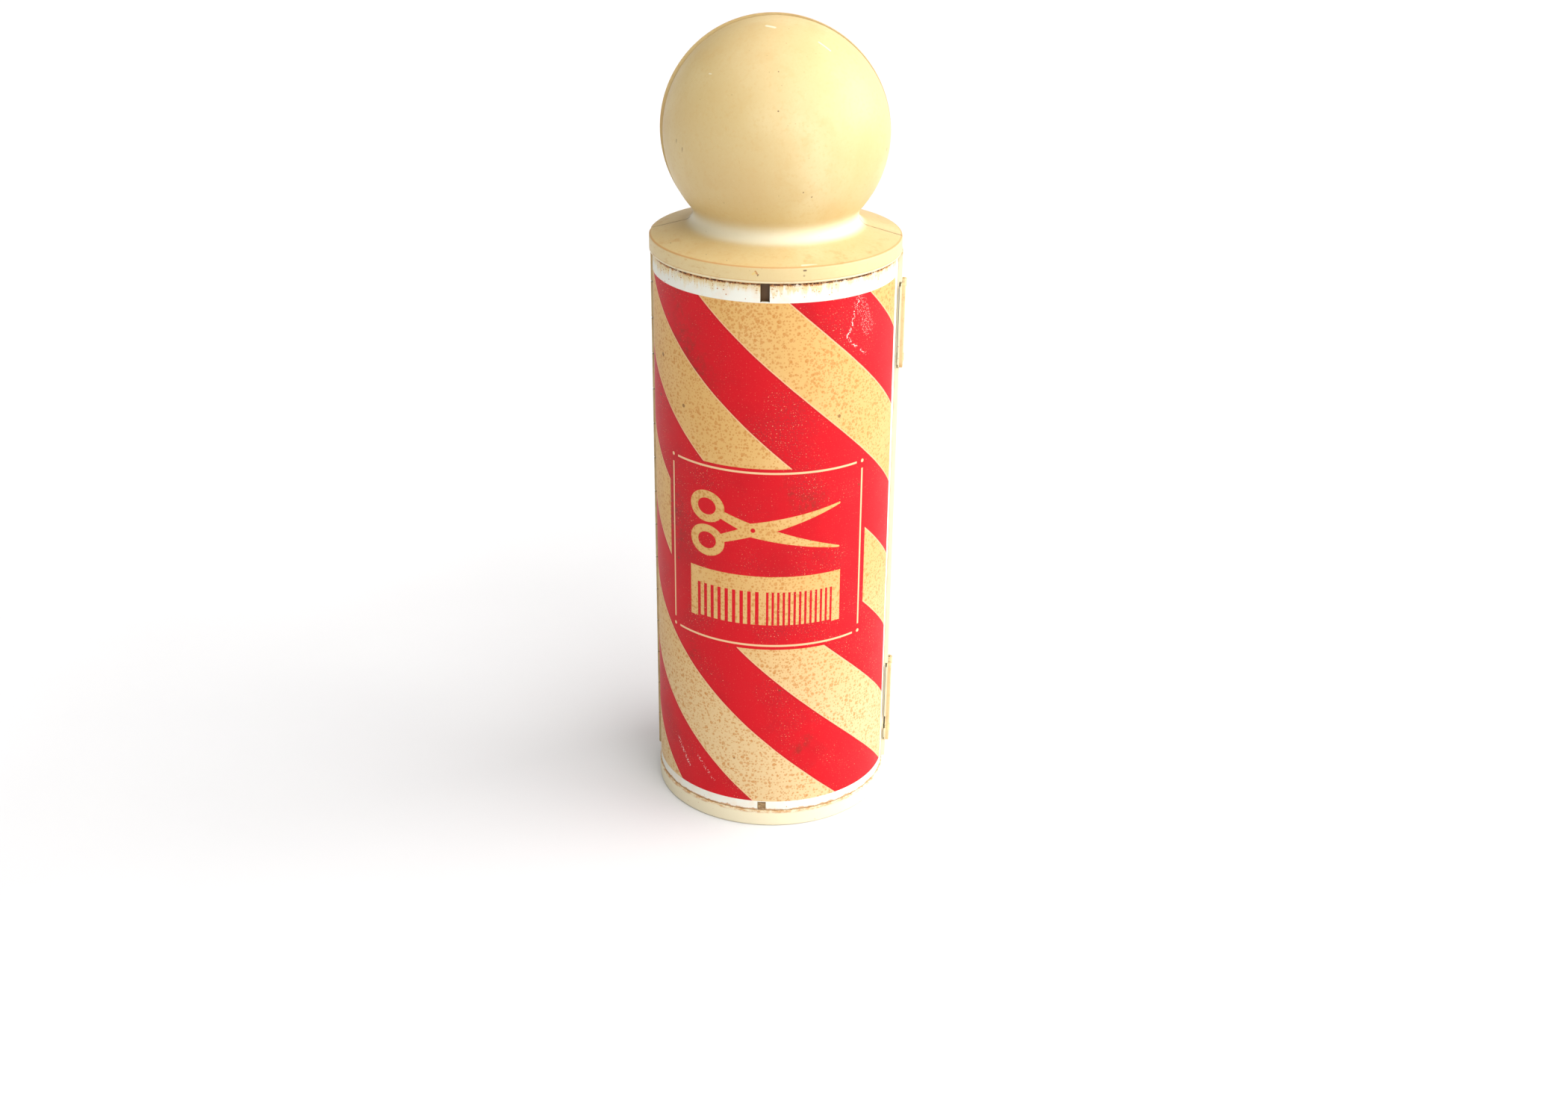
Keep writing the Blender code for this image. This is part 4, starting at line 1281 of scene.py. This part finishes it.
def paint_sheet_rust(s, margin, from_side):
    """Rust that creeps in from the edges of the sheet, most of all from the top."""
    ragged = s.noise(4.0, 6.0, 0.72, offset=1.0)
    drips = s.noise(3.0, 5.0, 0.75, place=s.vector(s.across * 1.6, s.z * 0.35), offset=2.0)
    from_top = WRAP_HIGH / MM - s.z
    patch = s.noise(24.0, 2.0, 0.5, place=s.vector(s.across, 0.0), offset=0.6)
    reach = (drips - 0.4) * 17.0 * patch.rise(0.2, 0.5) + 1.4
    haze = (reach - from_top).rise(-1.2, 1.6)
    s.paint(haze * ragged.rise(0.26, 0.56) * 0.7, STAIN)
    crumbs, chance = s.dots(0.85, 0.1, 0.34, offset=5.0)
    loose = haze * chance.rise(0.62, 0.64) + margin * chance.rise(0.985, 0.99)
    s.paint(crumbs * loose * 0.8, CRUMB)
    crust = (reach * 0.2 + 0.35 - from_top).rise(-0.25, 0.35)
    s.paint(crust * ragged.rise(0.32, 0.52) * 0.85, CRUMB)
    core = (from_top - 0.35).within(0.3, 0.2) * patch.rise(0.2, 0.42)
    s.paint(core * s.noise(1.1, 4.0, 0.7, offset=3.0).rise(0.42, 0.54), DARK_BROWN)
    from_bottom = s.z - WRAP_LOW / MM
    s.paint(((ragged - 0.35) * 4.0 - from_bottom).rise(-0.2, 0.4) * 0.8, RUST)
    s.paint(((ragged - 0.44) * 5.0 - from_side).rise(-0.2, 0.5) * 0.8, RUST)
    s.paint(s.specks(16.0, 0.3, 0.9, 0.82) * 0.7, DARK_RUST)


def paint_scratches(s):
    """Worn lines where the white under the ink comes through in flecks."""
    flecks, chance = s.dots(0.6, 0.1, 0.3, offset=2.0)
    broken = flecks * chance.rise(0.3, 0.34)
    for start, end, width, strength in SCRATCHES:
        worn = s.stroke(start, end, width, width, s.z)
        s.paint(worn.rise(0.4, -0.2) * broken * strength, TIN_WHITE)


def printed_tin(name, side, edge, panel):
    """Litho-printed tin: diagonal stripes in a white border, stippled tan, rusty edges."""
    s = Surface(name, RED, Specular_IOR_Level=0.22)
    angle = (s.x * -side).math("ARCTAN2", s.y * side)
    across = angle * WRAP_FACE
    s.lay_flat(across)
    sheet_half = WRAP_FACE * math.acos(edge / WRAP_RADIUS)
    red, outline, dense = stripe_masks(s)
    up = s.z - PANEL_MIDDLE
    if panel:
        inside = across.within(PANEL_HALF_WIDTH) * up.within(PANEL_HALF_HEIGHT)
        red = red.most(inside)
        outline = outline * (1.0 - inside)
        dense = dense * (1.0 - inside)

    paint_red_ink(s, dense)
    red_ink = s.colour
    s.colour = TAN
    paint_tan_ink(s)
    tan_ink = s.colour
    s.paint(red, red_ink)
    s.paint(outline * 0.8, PALE_EDGE)
    if panel:
        s.paint(comb_shape(across, up).most(scissors_shape(s, up)) * inside, tan_ink)
        s.paint(panel_line(s, up), PALE_EDGE)

    side_margin = s.z * SIDE_MARGIN_SLOPE + SIDE_MARGIN
    printed = (across.size() + side_margin).rise(sheet_half + 0.12, sheet_half - 0.12)
    margin = 1.0 - printed * s.z.between(PRINT_LOW, PRINT_HIGH)
    s.paint(margin, TIN_WHITE)
    s.paint(margin * s.noise(6.0, 4.0, 0.6).rise(0.45, 0.75) * 0.35, PALE_EDGE)
    paint_sheet_rust(s, margin, sheet_half - across.size())
    if panel:
        paint_scratches(s)

    s.paint(s.radius.rise(WRAP_FACE - 0.12, WRAP_FACE - 0.2), BARE_TIN)
    dents = s.noise(16.0, 2.0, 0.5)
    fine = s.noise(0.7, 2.0, 0.6)
    roughness = s.noise(11.0, 4.0, 0.6, offset=6.0) * 0.16 + 0.46
    return s.finish(roughness, dents * 3.0 + fine * 0.16, 0.04)


# ---------------------------------------------------------------- metal and trays


def aged_metal(name, base, dull, metallic, rough, rust_share):
    """Old plated steel: cloudy plate, fine scratches and spots of rust."""
    s = Surface(name, base, Specular_IOR_Level=0.5)
    s.paint(s.noise(8.0, 4.0, 0.6).rise(0.4, 0.7) * 0.6, dull)
    spots = s.noise(2.4, 5.0, 0.75, offset=5.0)
    rust = spots.rise(1.0 - rust_share, 1.12 - rust_share)
    s.paint(rust * 0.85, RUST)
    s.paint(spots.rise(1.06 - rust_share, 1.2 - rust_share) * 0.8, DARK_RUST)
    put((1.0 - rust) * metallic, s.shader.inputs["Metallic"])
    lines = s.noise(1.5, 3.0, 0.6, place=s.vector(s.x * 4.0, s.y * 4.0, s.z * 0.4))
    roughness = rust * 0.35 + lines * 0.15 + rough
    return s.finish(roughness, lines * 0.3 + spots, 0.03)


def tray_material():
    """Matte moulded plastic with a fine leathery grain and scuffs from the tools it held."""
    s = Surface("tray_moulding", TRAY_CREAM, Specular_IOR_Level=0.4)
    s.paint(s.noise(40.0, 3.0, 0.5).rise(0.4, 0.7) * 0.5, TRAY_GREY)
    scuffs = s.noise(5.0, 5.0, 0.7, place=s.vector(s.x * 1.5, s.y, s.z * 0.4), offset=2.0)
    s.paint(scuffs.rise(0.58, 0.75) * 0.35, TRAY_SCUFF)
    s.paint(s.specks(5.0, 0.1, 0.3, 0.7) * 0.6, BROWN)
    grain = s.noise(0.9, 4.0, 0.6, offset=3.0)
    s.paint(grain.rise(0.5, 0.8) * 0.15, TRAY_SCUFF)
    return s.finish(grain * 0.1 + scuffs * 0.12 + 0.42, grain, 0.06)


# ---------------------------------------------------------------- stage


def make_floor():
    """A wide pale floor with the faintest variation."""

    def build(bm):
        bmesh.ops.create_grid(bm, x_segments=8, y_segments=8, size=20.0)

    floor = add_mesh(build)
    floor.name = "floor"
    s = Surface("pale_floor", FLOOR_PALE, Specular_IOR_Level=0.1)
    s.paint(s.noise(60.0, 3.0, 0.5).rise(0.3, 0.8) * 0.5, FLOOR_SHADE)
    floor.data.materials.append(s.finish(0.85))


def make_sun(name, azimuth, elevation, strength, spread):
    """A very soft light from an azimuth, counted from the front towards +X, in degrees."""
    light = bpy.data.lights.new(name, "SUN")
    light.energy = strength
    light.angle = math.radians(spread)
    lamp = bpy.data.objects.new(name, light)
    azimuth, elevation = math.radians(azimuth), math.radians(elevation)
    towards = Vector(
        (
            math.sin(azimuth) * math.cos(elevation),
            -math.cos(azimuth) * math.cos(elevation),
            math.sin(elevation),
        )
    )
    lamp.rotation_euler = towards.to_track_quat("Z", "Y").to_euler()
    bpy.context.scene.collection.objects.link(lamp)


def make_world(strength, towards_right, towards_top):
    """White light from all round, brighter towards +X, overhead and along the horizon."""
    world = bpy.data.worlds.new("studio")
    world.use_nodes = True
    tree = world.node_tree
    background = tree.nodes["Background"]
    background.inputs["Color"].default_value = (1.0, 1.0, 1.0, 1.0)
    direction = tree.nodes.new("ShaderNodeTexCoord")
    split = tree.nodes.new("ShaderNodeSeparateXYZ")
    tree.links.new(direction.outputs["Generated"], split.inputs[0])
    right, top = Field(tree, split.outputs[0]), Field(tree, split.outputs[2])
    level = right * towards_right + top * towards_top + strength
    put(level.most(top.rise(0.2, 0.1)).most(0.03), background.inputs["Strength"])
    bpy.context.scene.world = world


def make_camera():
    """From the front, a little to the right, looking down on the case."""
    data = bpy.data.cameras.new("camera")
    data.lens = CAMERA_LENS
    data.clip_start = 10.0 * MM
    data.clip_end = 100.0
    camera = bpy.data.objects.new("camera", data)
    place = Vector(
        (
            CAMERA_REACH * math.sin(CAMERA_AZIMUTH),
            -CAMERA_REACH * math.cos(CAMERA_AZIMUTH),
            CAMERA_HEIGHT,
        )
    )
    camera.matrix_world = (
        Matrix.Translation(place)
        @ Matrix.Rotation(CAMERA_AZIMUTH - CAMERA_PAN, 4, "Z")
        @ Matrix.Rotation(math.pi / 2 - CAMERA_TILT, 4, "X")
        @ Matrix.Rotation(CAMERA_ROLL, 4, "Z")
    )
    bpy.context.scene.collection.objects.link(camera)
    bpy.context.scene.camera = camera


# ---------------------------------------------------------------- assembly


def build_case():
    ivory = ivory_material()
    leaf_steel = aged_metal("leaf_steel", LEAF_STEEL, LEAF_DULL, 0.8, 0.38, 0.42)
    steel = aged_metal("fastener_steel", STEEL, DULL_STEEL, 1.0, 0.28, 0.3)
    moulding = tray_material()
    halves = (
        ("rear", 1, 0, REAR_WRAP_EDGE, "clipper_tray", REAR_POCKETS),
        ("front", -1, 1, WRAP_EDGE, "accessory_tray", FRONT_POCKETS),
    )
    for label, side, own, edge, tray_node, pockets in halves:
        shell(label, side, ivory)
        wrap(label, side, edge, printed_tin(f"{label}_tin", side, edge, side < 0))
        hinge_leaf(label, side, own, leaf_steel)
        for number, z in enumerate(RIVET_HEIGHTS, 1):
            rivet(label, side, number, z, steel)
        tray(label, tray_node, side, pockets, moulding)
        for number, place in enumerate(BOSS_PLACES, 1):
            tray_screw(label, side, number, place, steel)
    upright_pin("hinge_pin_rod", "hinge_pin", steel)
    for where in LATCHES:
        latch_plate(where, ivory)
        upright_pin(f"{where}_latch_pin_rod", f"latch_pin_{where}", steel)


make_camera()
make_world(0.3, 0.8, 0.45)
for sun in SUNS:
    make_sun(*sun)
make_floor()
build_case()
bpy.context.scene.view_settings.view_transform = "Standard"
